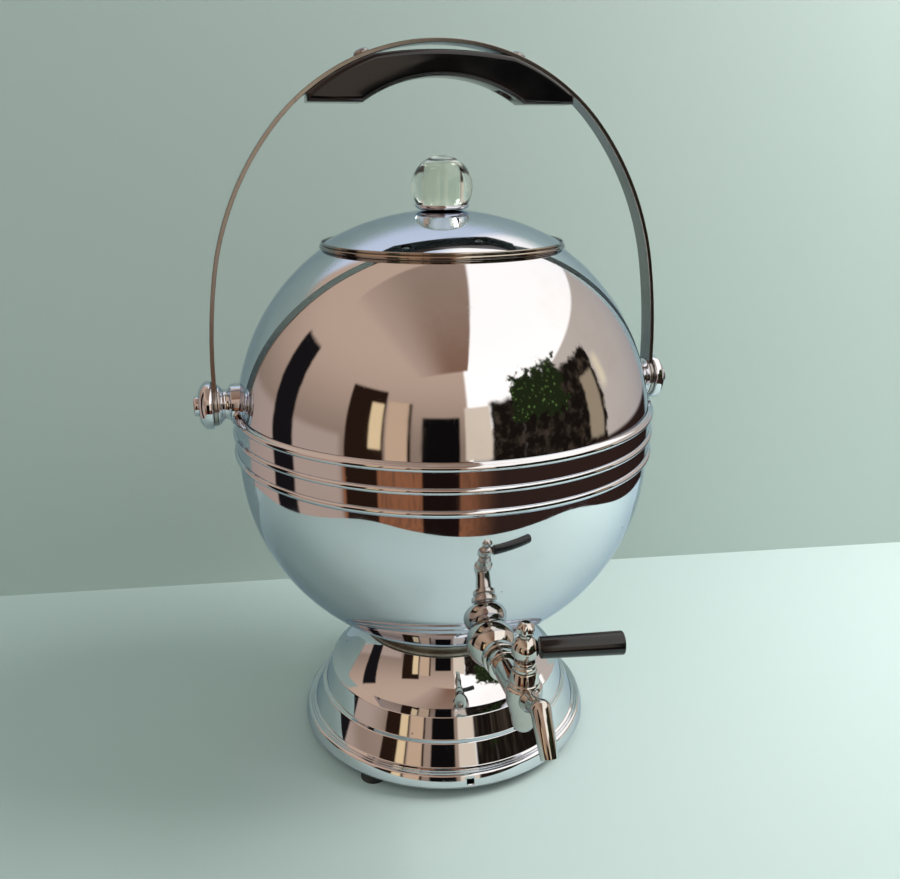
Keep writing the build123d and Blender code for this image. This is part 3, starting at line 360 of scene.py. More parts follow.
def plain_metal(name, tone, rough=0.35):
    """Turned or drawn metal on the hidden side."""
    made, f = material(name)
    mottle = f.noise(0.006, 4)
    lines = f.bump(f.noise(0.0010, 2, (0.1, 0.1, 1)), 0.00003, 0.3)
    colour = f.mix(mottle.between(0.35, 0.75) * 0.5, tone, tuple(c * 0.7 for c in tone))
    f.surface(Base_Color=colour, Metallic=1.0, Roughness=rough + mottle * 0.15, Normal=lines)
    return made


def black_moulding():
    """Polished black moulding compound with a little haze, dust and hairline wear."""
    made, f = material("black_moulding")
    haze = f.noise(0.02, 4).between(0.4, 0.75)
    dust = f.noise(0.0009, 2).between(0.66, 0.74)
    scuff = f.noise(0.0012, 2, (0.06, 1, 1)).between(0.66, 0.74)
    tone = f.mix(haze * 0.5, (0.003, 0.003, 0.0035), (0.008, 0.0075, 0.008))
    tone = f.mix(dust * 0.05, tone, (0.20, 0.19, 0.18))
    rough = 0.09 + haze * 0.07 + scuff * 0.10
    f.surface(Base_Color=tone, Roughness=rough, IOR=1.54, Normal=f.bump(haze + scuff * -0.2, 0.00004, 0.3))
    return made


def clear_glass():
    """Pressed glass with the faint green of its iron and a slightly uneven face."""
    made, f = material("clear_glass")
    ripple = f.noise(0.007, 2, (1, 1, 0.12))
    tone = f.mix(ripple, (0.95, 0.975, 0.90), (0.99, 1.0, 0.96))
    f.surface(
        Base_Color=tone,
        Roughness=0.01 + ripple.between(0.6, 0.8) * 0.02,
        IOR=1.50,
        Transmission_Weight=1.0,
        Normal=f.bump(ripple, 0.0005, 0.5),
    )
    return made


def old_rubber():
    made, f = material("old_rubber")
    dust = f.noise(0.004, 5).between(0.4, 0.7)
    tone = f.mix(dust, (0.012, 0.012, 0.012), (0.045, 0.043, 0.040))
    f.surface(Base_Color=tone, Roughness=0.65 + dust * 0.2, Normal=f.bump(f.noise(0.0008, 3), 0.0001, 0.5))
    return made


def fired_clay():
    made, f = material("fired_clay")
    speck = f.noise(0.0012, 4).between(0.55, 0.75)
    tone = f.mix(speck, (0.62, 0.58, 0.50), (0.45, 0.40, 0.33))
    f.surface(Base_Color=tone, Roughness=0.55 + speck * 0.2, Normal=f.bump(speck, 0.0001, 0.4))
    return made


def woven_sleeve():
    """Cotton-sleeved lead inside the base."""
    made, f = material("woven_sleeve")
    weave = f.node("TexWave", {"wave_type": "BANDS"}, Vector=f.spot(), Scale=900.0, Distortion=1.5)
    tone = f.mix(weave, (0.36, 0.22, 0.12), (0.20, 0.12, 0.07))
    f.surface(Base_Color=tone, Roughness=0.75 + weave * 0.1, Normal=f.bump(weave, 0.0002, 0.5))
    return made


bright_chrome = chrome("bright_chrome")
tap_chrome = chrome("tap_chrome", (0.66, 0.645, 0.61), (0.42, 0.385, 0.33), 0.06, 1.4)
# The lid's rim is plated darker and browner: brown tarnish, with painted shade for the dark line under the
# lid's edge.
rim_chrome = chrome("rim_chrome", (0.46, 0.41, 0.35), (0.24, 0.18, 0.13), 0.05, 1.5)
strap_chrome = chrome("strap_chrome", (0.38, 0.37, 0.35), (0.27, 0.26, 0.23), 0.20, 1.4)
dull_plating = worn_plating("dull_plating")
plain_steel = plain_metal("plain_steel", (0.50, 0.50, 0.50))
plain_brass = plain_metal("plain_brass", (0.66, 0.50, 0.26), 0.30)
element_steel = plain_metal("element_steel", (0.38, 0.36, 0.34), 0.40)
black = black_moulding()
glass = clear_glass()
rubber = old_rubber()
clay = fired_clay()
sleeve = woven_sleeve()


def upper_globe():
    mouth = degrees(acos(mouth_radius / globe_radius))
    inner = globe_radius - sheet
    inner_mouth = degrees(acos(mouth_radius / inner))
    profile = [(globe_radius, seam)]
    profile += arc((0, upper_centre), globe_radius, 0, mouth, 48)
    profile += arc((0, upper_centre), inner, inner_mouth, 0, 24)
    profile += [(inner, seam)]
    return hand_in(lathe("globe_upper", profile, steps=288), bright_chrome, "vessel", "chrome", "upper_shell")


def lower_globe():
    foot = -degrees(acos(neck_radius / globe_radius))
    inner = globe_radius - sheet
    floor = globe_bottom + sheet
    inner_foot = -degrees(acos(sqrt(inner**2 - (lower_centre - floor) ** 2) / inner))
    profile = [(0, globe_bottom)]
    profile += arc((0, lower_centre), globe_radius, foot, 0, 56)
    profile += [(globe_radius, seam), (inner, seam)]
    profile += arc((0, lower_centre), inner, 0, inner_foot, 28)
    profile += [(0, floor)]
    piece = lathe("globe_lower", profile, steps=288, closed=False)
    return hand_in(piece, bright_chrome, "vessel", "chrome", "lower_shell")


def belt():
    """A flat band with three rolled beads and turned-in edges."""
    low, high = belt_low, belt_low + belt_tall
    inner = globe_radius + skin
    face = inner + 0.0006
    bead, bead_inset = 0.0016, 0.0022
    levels = (low + bead_inset, (low + high) / 2, high - bead_inset)
    profile = [(inner, low), (face - 0.0003, low)]
    for level in levels:
        profile += arc((face, level), bead, -78, 78, 12)
    profile += [(face - 0.0003, high), (inner - 0.0004, high + 0.0001), (inner, high - 0.0004)]
    return hand_in(lathe("belt", profile, steps=288), bright_chrome, "vessel", "chrome", "belt_band")


def neck():
    profile = [
        (neck_radius - 0.005, globe_bottom - skin),
        (neck_radius, globe_bottom - skin),
        (neck_radius - 0.0004, base_height + 0.0020),
    ]
    profile += arc((neck_radius + 0.0013, base_height + 0.0008), 0.0008, 110, -90, 10)
    profile += [(neck_radius - 0.005, base_height)]
    return hand_in(lathe("neck", profile, steps=224), dull_plating, "vessel", "chrome_dull", "neck_ring")


def inside_of(points, wall):
    """The same line moved inwards by the thickness of the wall, in reverse order."""
    moved = []
    for i, point in enumerate(points):
        runs = ((points[i - 1], point), (point, points[(i + 1) % len(points)]))
        ways = [Vector(end) - Vector(start) for start, end in runs]
        if i == 0:
            ways = ways[1:]
        if i == len(points) - 1:
            ways = ways[:1]
        normals = [Vector((-way.y, way.x)).normalized() for way in ways]
        mean = sum(normals, Vector((0, 0))).normalized()
        moved.append(tuple(Vector(point) + mean * (wall / max(0.5, mean.dot(normals[0])))))
    return moved[::-1]


def base():
    """Rolled rim, ledge with fine lines, two walls and a trumpet-shaped flare, all of one sheet."""
    shoulder, ledge = (0.0778, 0.0128), (0.0735, 0.0144)
    foot = [(0.0776, 0.0055), (0.0793, 0.0069), (0.0791, 0.0088), shoulder]
    walls = [ledge, (0.0691, 0.0255), (0.0670, 0.0260), (0.0634, 0.0368), (0.0593, 0.0391)]
    start, end, radius = Vector(walls[-1]), Vector((0.0458, base_height)), 0.042
    side = Vector((end.y - start.y, start.x - end.x)).normalized()
    centre = (start + end) / 2 + side * sqrt(radius**2 - ((end - start).length / 2) ** 2)
    first, last = (degrees(atan2(spot.y - centre.y, spot.x - centre.x)) % 360 for spot in (start, end))
    flare = arc(tuple(centre), radius, first, last, 28)
    flange = (0.037, base_height)
    base_sheet = 0.0009
    lines = []
    line_half, line_depth = 0.0003, 0.00035
    way = (Vector(ledge) - Vector(shoulder)).normalized()
    down = Vector((way.y, -way.x)) * line_depth
    for share in (0.40, 0.66):
        spot = Vector(shoulder).lerp(Vector(ledge), share)
        lines += [tuple(spot - way * line_half), tuple(spot - down), tuple(spot + way * line_half)]
    foot_rounds, line_rounds = [0.0014, 0.003, 0.0016], [0.0001] * len(lines)
    wall_rounds = [0.0007, 0.0009, 0.0007, 0.0009, 0.002]
    outside = rounded(foot + lines + walls + flare[1:2], foot_rounds + line_rounds + wall_rounds, 4)
    profile = outside + flare[2:] + [flange] + inside_of(foot + walls + flare[1:] + [flange], base_sheet)
    shell = lathe("base", profile, steps=288)
    slot_size, slot_place, slot_turn = (0.0038, 0.02, 0.0028), (0, -0.0785, 0.0096), -4.3
    slot = bmesh.new()
    bmesh.ops.create_cube(slot, size=1)
    bmesh.ops.scale(slot, vec=slot_size, verts=slot.verts)
    turned = Matrix.Rotation(radians(slot_turn), 4, "Z") @ Matrix.Translation(slot_place)
    bmesh.ops.transform(slot, matrix=turned, verts=slot.verts)
    return cut(shell, as_piece(slot, "slot"))


def inlet_hole(shell):
    """The oval hole at the back that the power inlet's shroud comes through."""
    width, tall, level = 0.0366, 0.0206, 0.0255
    side = (width - tall) / 2
    outline = arc((side, level), tall / 2, -90, 90, 16) + arc((-side, level), tall / 2, 90, 270, 16)
    cut(shell, as_piece(prism_mesh(outline, 0.050, 0.045), "hole"))
    for face in shell.data.polygons:
        face.use_smooth = True
    return hand_in(shell, bright_chrome, "vessel", "chrome", "base_bell")


def lid():
    """Domed lid sheet with its rim: one rolled bead and a fine line above it."""
    under_ball = globe_radius + 0.00045
    edge = upper_centre + sqrt(under_ball**2 - lid_radius**2) + 0.0015
    dome = (lid_radius**2 + (lid_top - edge) ** 2) / (2 * (lid_top - edge))
    centre = lid_top - dome
    turn = degrees(acos(lid_radius / dome))
    inner = dome - 0.0008
    inner_turn = degrees(acos(lid_radius / inner))
    profile = arc((0, centre), dome, turn, 90, 40) + arc((0, centre), inner, 90, inner_turn, 20)
    hand_in(lathe("lid_sheet", profile, steps=256), bright_chrome, "lid", "chrome", "lid_shell")
    reach, inset = lid_radius + 0.001, lid_radius - 0.001
    level = upper_centre + sqrt(under_ball**2 - reach**2)
    rim = [(inset, upper_centre + sqrt(under_ball**2 - inset**2))]
    rim += [(reach - 0.0003, level + 0.0002)]
    rim += arc((reach, level + 0.0008), 0.0010, -100, 75, 12)
    rim += arc((lid_radius + 0.00065, level + 0.00255), 0.00065, -60, 110, 10)
    rim += [(lid_radius + skin, edge), (lid_radius + skin, centre + sqrt(inner**2 - lid_radius**2) - skin)]
    rim += [(inset, centre + sqrt(inner**2 - inset**2) - skin)]
    hand_in(lathe("lid_rim_roll", rim, steps=256), rim_chrome, "lid", "chrome", "lid_rim")


def knob():
    """A chromed cup and a hollow glass ball that stands in it."""
    low = lid_top + skin
    cup = [(0, low), (0.0108, low)]
    cup += [(0.0118, low + 0.0004), (0.0129, low + 0.0013), (0.0134, low + 0.0021)]
    cup += arc((0.0132, low + 0.0022), 0.0003, -20, 140, 6)
    cup += [(0.0114, low + 0.0009), (0, low + 0.0008)]
    hand_in(lathe("knob_cup", cup, steps=160, closed=False), bright_chrome, "lid", "chrome", "knob_ferrule")
    radius = 0.01485
    middle = lid_top + 0.0106
    foot = lid_top + 0.0009
    turn = degrees(asin((middle - foot) / radius))
    cavity, crown = 0.0092, 0.0045
    top = middle + radius - 0.003
    ball = arc((0, middle), radius, -turn, 90, 40)
    ball += [(0, top)] + arc((cavity - crown, top - crown), crown, 90, 0, 10)
    ball += [(cavity + 0.0002, foot + 0.004), (cavity, foot)]
    hand_in(lathe("knob_glass", ball, steps=160, sharp=60), glass, "lid", "glass", "glass_knob")


def feet():
    """Three rubber feet with a recess below each screw."""
    outline = [(0, 0.0022), (0.0036, 0.0022), (0.0036, 0), (0.0068, 0), (0.0062, 0.0047), (0, 0.0047)]
    profile = rounded(outline, 0.0006)
    ring = 0.071
    made = bmesh.new()
    for turn in (-45, 75, 195):
        spot = Matrix.Translation((ring * sin(radians(turn)), -ring * cos(radians(turn)), 0))
        join(made, lathe_mesh(profile, spot, steps=64, closed=False))
    hand_in(as_piece(made, "feet_rubber"), rubber, "vessel", "rubber", "feet")


def tap():
    """Bulb, collars, shank and barrel, gland, spout arm and nozzle."""
    outwards = place_on((0, 0, tap_height), (0, -1, 0))
    bulge = arc((0, tap_root + 0.0097), 0.0115, -90, 90, 48)
    bulb = lathe("tap_bulb", bulge, outwards, steps=128, closed=False)
    ball = bmesh.new()
    bmesh.ops.create_uvsphere(ball, u_segments=256, v_segments=128, radius=globe_radius + skin)
    bmesh.ops.translate(ball, vec=(0, 0, lower_centre), verts=ball.verts)
    cut(bulb, as_piece(ball, "ball"))
    for face in bulb.data.polygons:
        face.use_smooth = True
    hand_in(bulb, tap_chrome, "vessel", "chrome", "tap_boss")

    rings = bmesh.new()
    for start, length, radius in ((0.0203, 0.0045, 0.0080), (0.0268, 0.0040, 0.0074)):
        low, high = tap_root + start, tap_root + start + length
        ring = [(0.0057, low), (radius, low), (radius, high), (0.0057, high)]
        join(rings, lathe_mesh(rounded(ring, 0.0014), outwards, steps=96))
    hand_in(as_piece(rings, "tap_rings"), tap_chrome, "vessel", "chrome", "tap_collars")

    body = bmesh.new()
    inside = sqrt((globe_radius - sheet) ** 2 - tap_drop**2) - 0.016
    shank_end = tap_root + 0.0500
    shank = rounded([(0, inside), (0.0056, inside), (0.0056, shank_end)], 0.0005) + [(0, shank_end)]
    join(body, lathe_mesh(shank, outwards, steps=96, closed=False))
    low = tap_height - 0.0145
    barrel = arc((0, low + 0.0048), 0.0049, -90, -14, 12)
    barrel += [(0.0056, low + 0.0085), (0.0074, low + 0.0150), (0.0076, low + 0.0178)]
    barrel += [(0.0076, low + 0.0216), (0.0066, low + 0.0225), (0.0054, low + 0.0225)]
    barrel = rounded(barrel, 0.0008, 4) + [(0.0042, low + 0.0056), (0, low + 0.0056)]
    join(body, lathe_mesh(barrel, Matrix.Translation((0, cock_y, 0)), steps=96, closed=False))
    slope, tilt = radians(13.4), radians(37.1)
    nozzle_reach, nozzle_rise, arm_rise = 0.0185, 0.0105, 0.0025
    arm_start = Vector((0, cock_y, tap_height + arm_rise))
    arm_way = Vector((0, -cos(slope), sin(slope)))
    arm_length = nozzle_reach + (nozzle_rise - arm_rise) * tan(tilt)
    arm_length /= cos(slope) * (1 + tan(slope) * tan(tilt))
    arm_end = arm_length - 0.0027
    arm = [(0, 0.0062), (0.0046, 0.0062), (0.0046, 0.0085), (0.0034, 0.0115), (0.0033, arm_end), (0, arm_end)]
    join(body, lathe_mesh(rounded(arm, 0.0012), place_on(arm_start, arm_way), steps=72, closed=False))
    hand_in(as_piece(body, "tap_casting"), tap_chrome, "vessel", "chrome", "tap_body")

    top = Vector((0, cock_y - nozzle_reach, tap_height + nozzle_rise))
    way = Vector((0, -sin(tilt), -cos(tilt)))
    outer = arc((0, 0.0021), 0.0043, -90, 0, 10) + [(0.0041, 0.0080), (0.0036, 0.0205), (0.0035, 0.0207)]
    bore = [(0.0029, 0.0207), (0.0026, 0.0204), (0.0026, 0.0009), (0, 0.0009)]
    nozzle = lathe("nozzle", outer + bore, place_on(top, way), steps=72, closed=False)
    hand_in(nozzle, tap_chrome, "vessel", "chrome", "tap_nozzle")

    gland = [(0.0033, 0), (0.0068, 0), (0.0065, 0.0012), (0.0060, 0.0016), (0.0062, 0.0020)]
    gland += [(0.0052, gland_tall), (0.0033, gland_tall)]
    gland_rounds = [0.0005, 0.0002, 0.0002, 0.0002, 0.0008]
    stand = Matrix.Translation((0, cock_y, gland_low))
    piece = lathe("gland", rounded(gland, gland_rounds), stand, steps=96)
    hand_in(piece, tap_chrome, "vessel", "chrome", "tap_gland")


def tap_lever():
    """Neck disc, ball, lobed nut and black handle: everything that turns with the plug."""
    low = gland_low + gland_tall + 0.0001
    ball_radius, ball_rise = 0.0057, 0.0095
    plug_low, plug_high = tap_height - 0.0087, tap_height + 0.0077
    stem = [(0, plug_low), (0.0040, plug_low), (0.0052, plug_high), (0.0032, plug_high), (0.0032, low)]
    disc = [(0.0032, low), (0.0048, low), (0.0048, low + 0.0016), (0.0040, low + 0.0022)]
    disc += [(0.0046, low + 0.0028), (0.0044, low + 0.0040), (0.0030, low + 0.0044)]
    ball = arc((0, low + ball_rise), ball_radius, -55, 90, 24)
    outline = stem + rounded(disc, 0.0006)[1:] + ball
    piece = lathe("tap_ball", outline, Matrix.Translation((0, cock_y, 0)), steps=96, closed=False)
    hand_in(piece, tap_chrome, "tap_plug_body", "chrome", "tap_plug")

    nut = [(0, 0), (0.0026, 0), (0.0027, 0.0010), (0.0041, 0.0024)]
    nut += [(0.0039, 0.0044), (0.0025, 0.0058), (0.0018, 0.0064), (0, 0.0065)]
    nut_rounds = [0.0003, 0.0005, 0.0010, 0.0010, 0.0006, 0.0004]
    lobed = lathe_mesh(rounded(nut, nut_rounds), None, steps=96, closed=False)
    lobe_start, lobe_fade, lobes = 0.0027, 0.0008, 6
    for vert in lobed.verts:
        reach = Vector(vert.co.xy).length
        if reach > lobe_start:
            wave = 1 - cos(lobes * atan2(vert.co.y, vert.co.x))
            bite = 0.10 * wave * min(1, (reach - lobe_start) / lobe_fade)
            vert.co.xy = vert.co.xy * (1 - bite)
    stand = Matrix.Translation((0, cock_y, low + ball_rise + ball_radius - 0.0002))
    bmesh.ops.transform(lobed, matrix=stand, verts=lobed.verts)
    hand_in(as_piece(lobed, "tap_lobed_nut", 50), tap_chrome, "tap_plug_body", "chrome", "tap_finial")

    turn = radians(8.1)
    along = (cos(turn), -sin(turn), 0)
    stand = place_on((0, cock_y, low + ball_rise), along, Z_AXIS)
    grip = [(0, 0.0059), (0.0045, 0.0059), (0.0046, 0.0150), (0.0049, 0.0405), (0, 0.0405)]
    handle = lathe("tap_lever_grip", rounded(grip, [0.0006, 0, 0.0007]), stand, steps=96, closed=False)
    hand_in(handle, black, "tap_plug_body", "black_plastic", "tap_handle")


def pivots():
    """On each side: ring, hollow neck, rounded cap and button head."""
    root, ring = pivot_surface - 0.003, pivot_surface + 0.0031
    lip = pivot_face - 0.0009
    waist = (ring + lip) / 2
    spigot = pivot_face + spigot_length
    cap = spigot + 0.0069
    boss = rounded([(0.0032, root), (0.0099, root), (0.0099, ring), (0.0090, ring)], [0, 0.0009])
    boss += [(0.0078, ring + 0.0007), (0.0072, waist - 0.0007), (0.0071, waist + 0.0003)]
    boss += [(0.0080, lip - 0.0012), (0.0097, lip), (0.0100, lip + 0.0004), (0.0099, pivot_face)]
    boss += [(0.0040, pivot_face), (0.0040, spigot), (0.0032, spigot)]
    boss_outline = boss[:6] + rounded(boss[5:], 0.0015, 4)[1:]
    dome = [(0.0031, spigot), (0.0117, spigot), (0.0118, spigot + 0.0016), (0.0117, spigot + 0.0032)]
    dome = rounded(dome, [0.0009, 0.002]) + arc((0.0050, spigot - 0.0012), 0.0081, 36, 90, 18)
    dome += [(0.0031, cap)]
    button_round = 0.0014
    brim = cap + 0.0010
    crown = brim + button_round
    button = [(0, cap - 0.03), (0.0030, cap - 0.03), (0.0030, cap), (0.0050, cap), (0.0050, brim)]
    button += arc((0.0036, brim), button_round, 10, 80, 8)
    button += [(0.0012, crown), (0, crown)]
    screws = bmesh.new()
    for side, name in ((1, "right"), (-1, "left")):
        stand = pivot_line(side)
        piece = lathe("pivot_neck_" + name, boss_outline, stand, steps=128)
        hand_in(piece, bright_chrome, "vessel", "chrome", "pivot_boss_" + name)
        piece = lathe("pivot_dome_" + name, dome, stand, steps=128)
        hand_in(piece, bright_chrome, "vessel", "chrome", "pivot_cap_" + name)
        join(screws, lathe_mesh(button, stand, steps=72, closed=False))
    hand_in(as_piece(screws, "pivot_buttons"), bright_chrome, "vessel", "chrome", "pivot_screws")


def strap_arcs():
    """Radius and turn of the strap's three tangent arcs; the last two follow from where it must end."""
    first, second = radians(50), radians(80)
    eye_straight = 0.012
    span = eye_middle - crown_radius * sin(first)
    drop = strap_crown - pivot_height - eye_straight - crown_radius * (1 - cos(first))
    a, b = sin(second) - sin(first), 1 - sin(second)
    c, d = cos(first) - cos(second), cos(second)
    shoulder = (span * d - drop * b) / (a * d - b * c)
    arm = (drop * a - span * c) / (a * d - b * c)
    return ((crown_radius, 50), (shoulder, 30), (arm, 10))


def strap():
    """A flat strip bent over in tangent arcs, with round eyes at the pivots."""
    wide = 0.00575
    here, heading = Vector((0, strap_crown)), 0
    line = []
    for radius, turn in strap_arcs():
        centre = here - radius * Vector((sin(radians(heading)), cos(radians(heading))))
        for t in range(heading, heading + turn + 1, 2):
            way = Vector((sin(radians(t)), cos(radians(t))))
            line.append((centre + radius * way, way))
        heading += turn
        here = centre + radius * Vector((sin(radians(heading)), cos(radians(heading))))
    line.append((Vector((eye_middle, pivot_height)), Vector((1, 0))))
    outer = [spot + strap_half * way for spot, way in line]
    inner = [spot - strap_half * way for spot, way in line]
    outline = [(-p.x, p.y) for p in outer[::-1]] + [tuple(p) for p in outer[1:]]
    outline += [tuple(p) for p in inner[::-1]] + [(-p.x, p.y) for p in inner[1:]]
    strip = prism_mesh(outline, -wide, 2 * wide)
    low, high = eye_middle - strap_half, eye_middle + strap_half
    eye = rounded([(0.0041, low), (0.0102, low), (0.0102, high), (0.0041, high)], 0.0004)
    for side in (1, -1):
        join(strip, lathe_mesh(eye, pivot_line(side), steps=64))
    piece = as_piece(strip, "strap")
    edge = piece.modifiers.new("edge", "BEVEL")
    edge.width = 0.0003
    edge.segments = 2
    edge.limit_method = "ANGLE"
    hand_in(piece, strap_chrome, "bail", "chrome", "bail_strap")


def grip():
    """Black moulded arch with softly rounded edges and a recess under each screw."""
    under = crown_radius - strap_half - skin
    middle = strap_crown - crown_radius
    top = strap_top - 2 * strap_half - 0.0029
    reach, foot, meet, arch_rise = 0.0635, 0.0385, 0.033, 0.0118
    meet_z = middle + sqrt(under**2 - meet**2)
    arch_foot = middle + sqrt(under**2 - reach**2) - 0.0039
    arch_top = arch_foot + arch_rise
    crown = (meet**2 + (top - meet_z) ** 2) / (2 * (top - meet_z))
    crown_turn = degrees(asin(meet / crown))
    arch = (foot**2 + arch_rise**2) / (2 * arch_rise)
    arch_turn = degrees(asin(foot / arch))
    from_turn, to_turn = degrees(asin(meet / under)), degrees(asin(reach / under))
    outline = arc((0, top - crown), crown, 90 + crown_turn, 90 - crown_turn, 16)
    outline += arc((0, middle), under, 90 - from_turn, 90 - to_turn, 12)[1:]
    outline += [(reach, arch_foot), (foot, arch_foot)]
    outline += arc((0, arch_top - arch), arch, 90 - arch_turn, 90 + arch_turn, 28)[1:]
    outline += [(-reach, arch_foot)]
    outline += arc((0, middle), under, 90 + to_turn, 90 + from_turn, 12)[:-1]
    wide = 0.009
    made = prism_mesh(outline, -wide, 2 * wide)
    rims = [edge for edge in made.edges if abs(edge.verts[0].co.y - edge.verts[1].co.y) < 1e-6]
    softness = {"offset": 0.0028, "segments": 6, "profile": 0.5, "clamp_overlap": True}
    bmesh.ops.bevel(made, geom=rims, affect="EDGES", material=-1, **softness)
    piece = as_piece(made, "grip_moulding", 40)
    turn = asin(0.037 / crown_radius)
    recess = [(0, 0), (0.0046, 0), (0.0046, 0.02), (0, 0.02)]
    head = [(0, -0.0160), (0.0020, -0.0160), (0.0020, 0), (0.0038, 0)]
    head += [(0.0037, 0.0006), (0.0030, 0.0014), (0.0018, 0.0019), (0, 0.0020)]
    head = rounded(head, [0.0002, 0, 0.0001, 0.0004, 0.0006, 0.0006])
    heads = bmesh.new()
    for side in (1, -1):
        way = Vector((side * sin(turn), 0, cos(turn)))
        recess_stand = place_on(Vector((0, 0, middle)) + way * (under - 0.010), -way)
        cut(piece, lathe("recess", recess, recess_stand, steps=48, closed=False))
        head_stand = place_on(Vector((0, 0, middle)) + way * (crown_radius + strap_half + skin), way)
        join(heads, lathe_mesh(head, head_stand, steps=48, closed=False))
    hand_in(piece, black, "bail", "black_plastic", "grip")
    hand_in(as_piece(heads, "grip_screw_heads"), strap_chrome, "bail", "chrome_dull", "grip_screws")


# The stage: a pale table, a pale wall behind it and soft daylight from the right

wall_ends = (Vector((-0.196, 0.201, 0)), Vector((0.315, 0.139, 0)))
stage_reach = 3


def stage_finish(name, tone, glossy_mask):
    """Plain pale paint that polished metal sees only near the object."""
    made, f = material(name)
    paint = f.node("BsdfPrincipled", Base_Color=tone, Roughness=0.85)
    clear = f.node("BsdfTransparent")
    hidden = glossy_mask(f)
    f.node("OutputMaterial", Surface=f.node("MixShader", i0=hidden, i1=paint, i2=clear))
    return made


def table_mask(f):
    """Polished metal sees the table only in a rounded patch around the object."""
    x, y, _ = f.split(f.node("TexCoord", output="Object"))
    glossy = f.node("LightPath", output="Is Glossy Ray")
    across, out = x / 0.41, y / 0.36
    across, out = across * across, out * out
    return glossy * (across * across + out * out > 1.0)


def wall_mask(f):
    """Polished metal sees the wall only near the object and from its front."""
    x, _, z = f.split(f.node("TexCoord", output="Object"))
    glossy = f.node("LightPath", output="Is Glossy Ray")
    back = f.node("NewGeometry", output="Backfacing")
    beyond = abs(x).between(0.27, 0.33) + z.between(0.36, 0.50)
    return (glossy * beyond + back).between(0, 1)


def stage():
    table = bmesh.new()
    bmesh.ops.create_grid(table, x_segments=1, y_segments=1, size=stage_reach)
    piece = as_piece(table, "table")
    piece.data.materials.append(stage_finish("table_paint", (0.58, 0.68, 0.66), table_mask))

    # The wall's one face keeps its own direction, because its back is left open
    wall = bmesh.new()
    left, right = wall_ends
    along = (right - left).normalized() * stage_reach
    middle, up = (left + right) / 2, stage_reach * Z_AXIS
    corners = (middle - along, middle + along, middle + along + up, middle - along + up)
    wall.faces.new([wall.verts.new(corner) for corner in corners])
    mesh = bpy.data.meshes.new("wall")
    wall.to_mesh(mesh)
    wall.free()
    piece = bpy.data.objects.new("wall", mesh)
    bpy.context.scene.collection.objects.link(piece)
    piece.data.materials.append(stage_finish("wall_paint", (0.52, 0.60, 0.565), wall_mask))


def lamp(name, spot, aim, size, power, tone):
    light = bpy.data.lights.new(name, "AREA")
    light.shape = "RECTANGLE"
    light.size, light.size_y = size
    light.energy = power
    light.color = tone
    holder = bpy.data.objects.new(name, light)
    turn = (Vector(aim) - Vector(spot)).to_track_quat("-Z", "Y")
    holder.matrix_world = Matrix.Translation(spot) @ turn.to_matrix().to_4x4()
    holder.visible_glossy = False
    bpy.context.scene.collection.objects.link(holder)


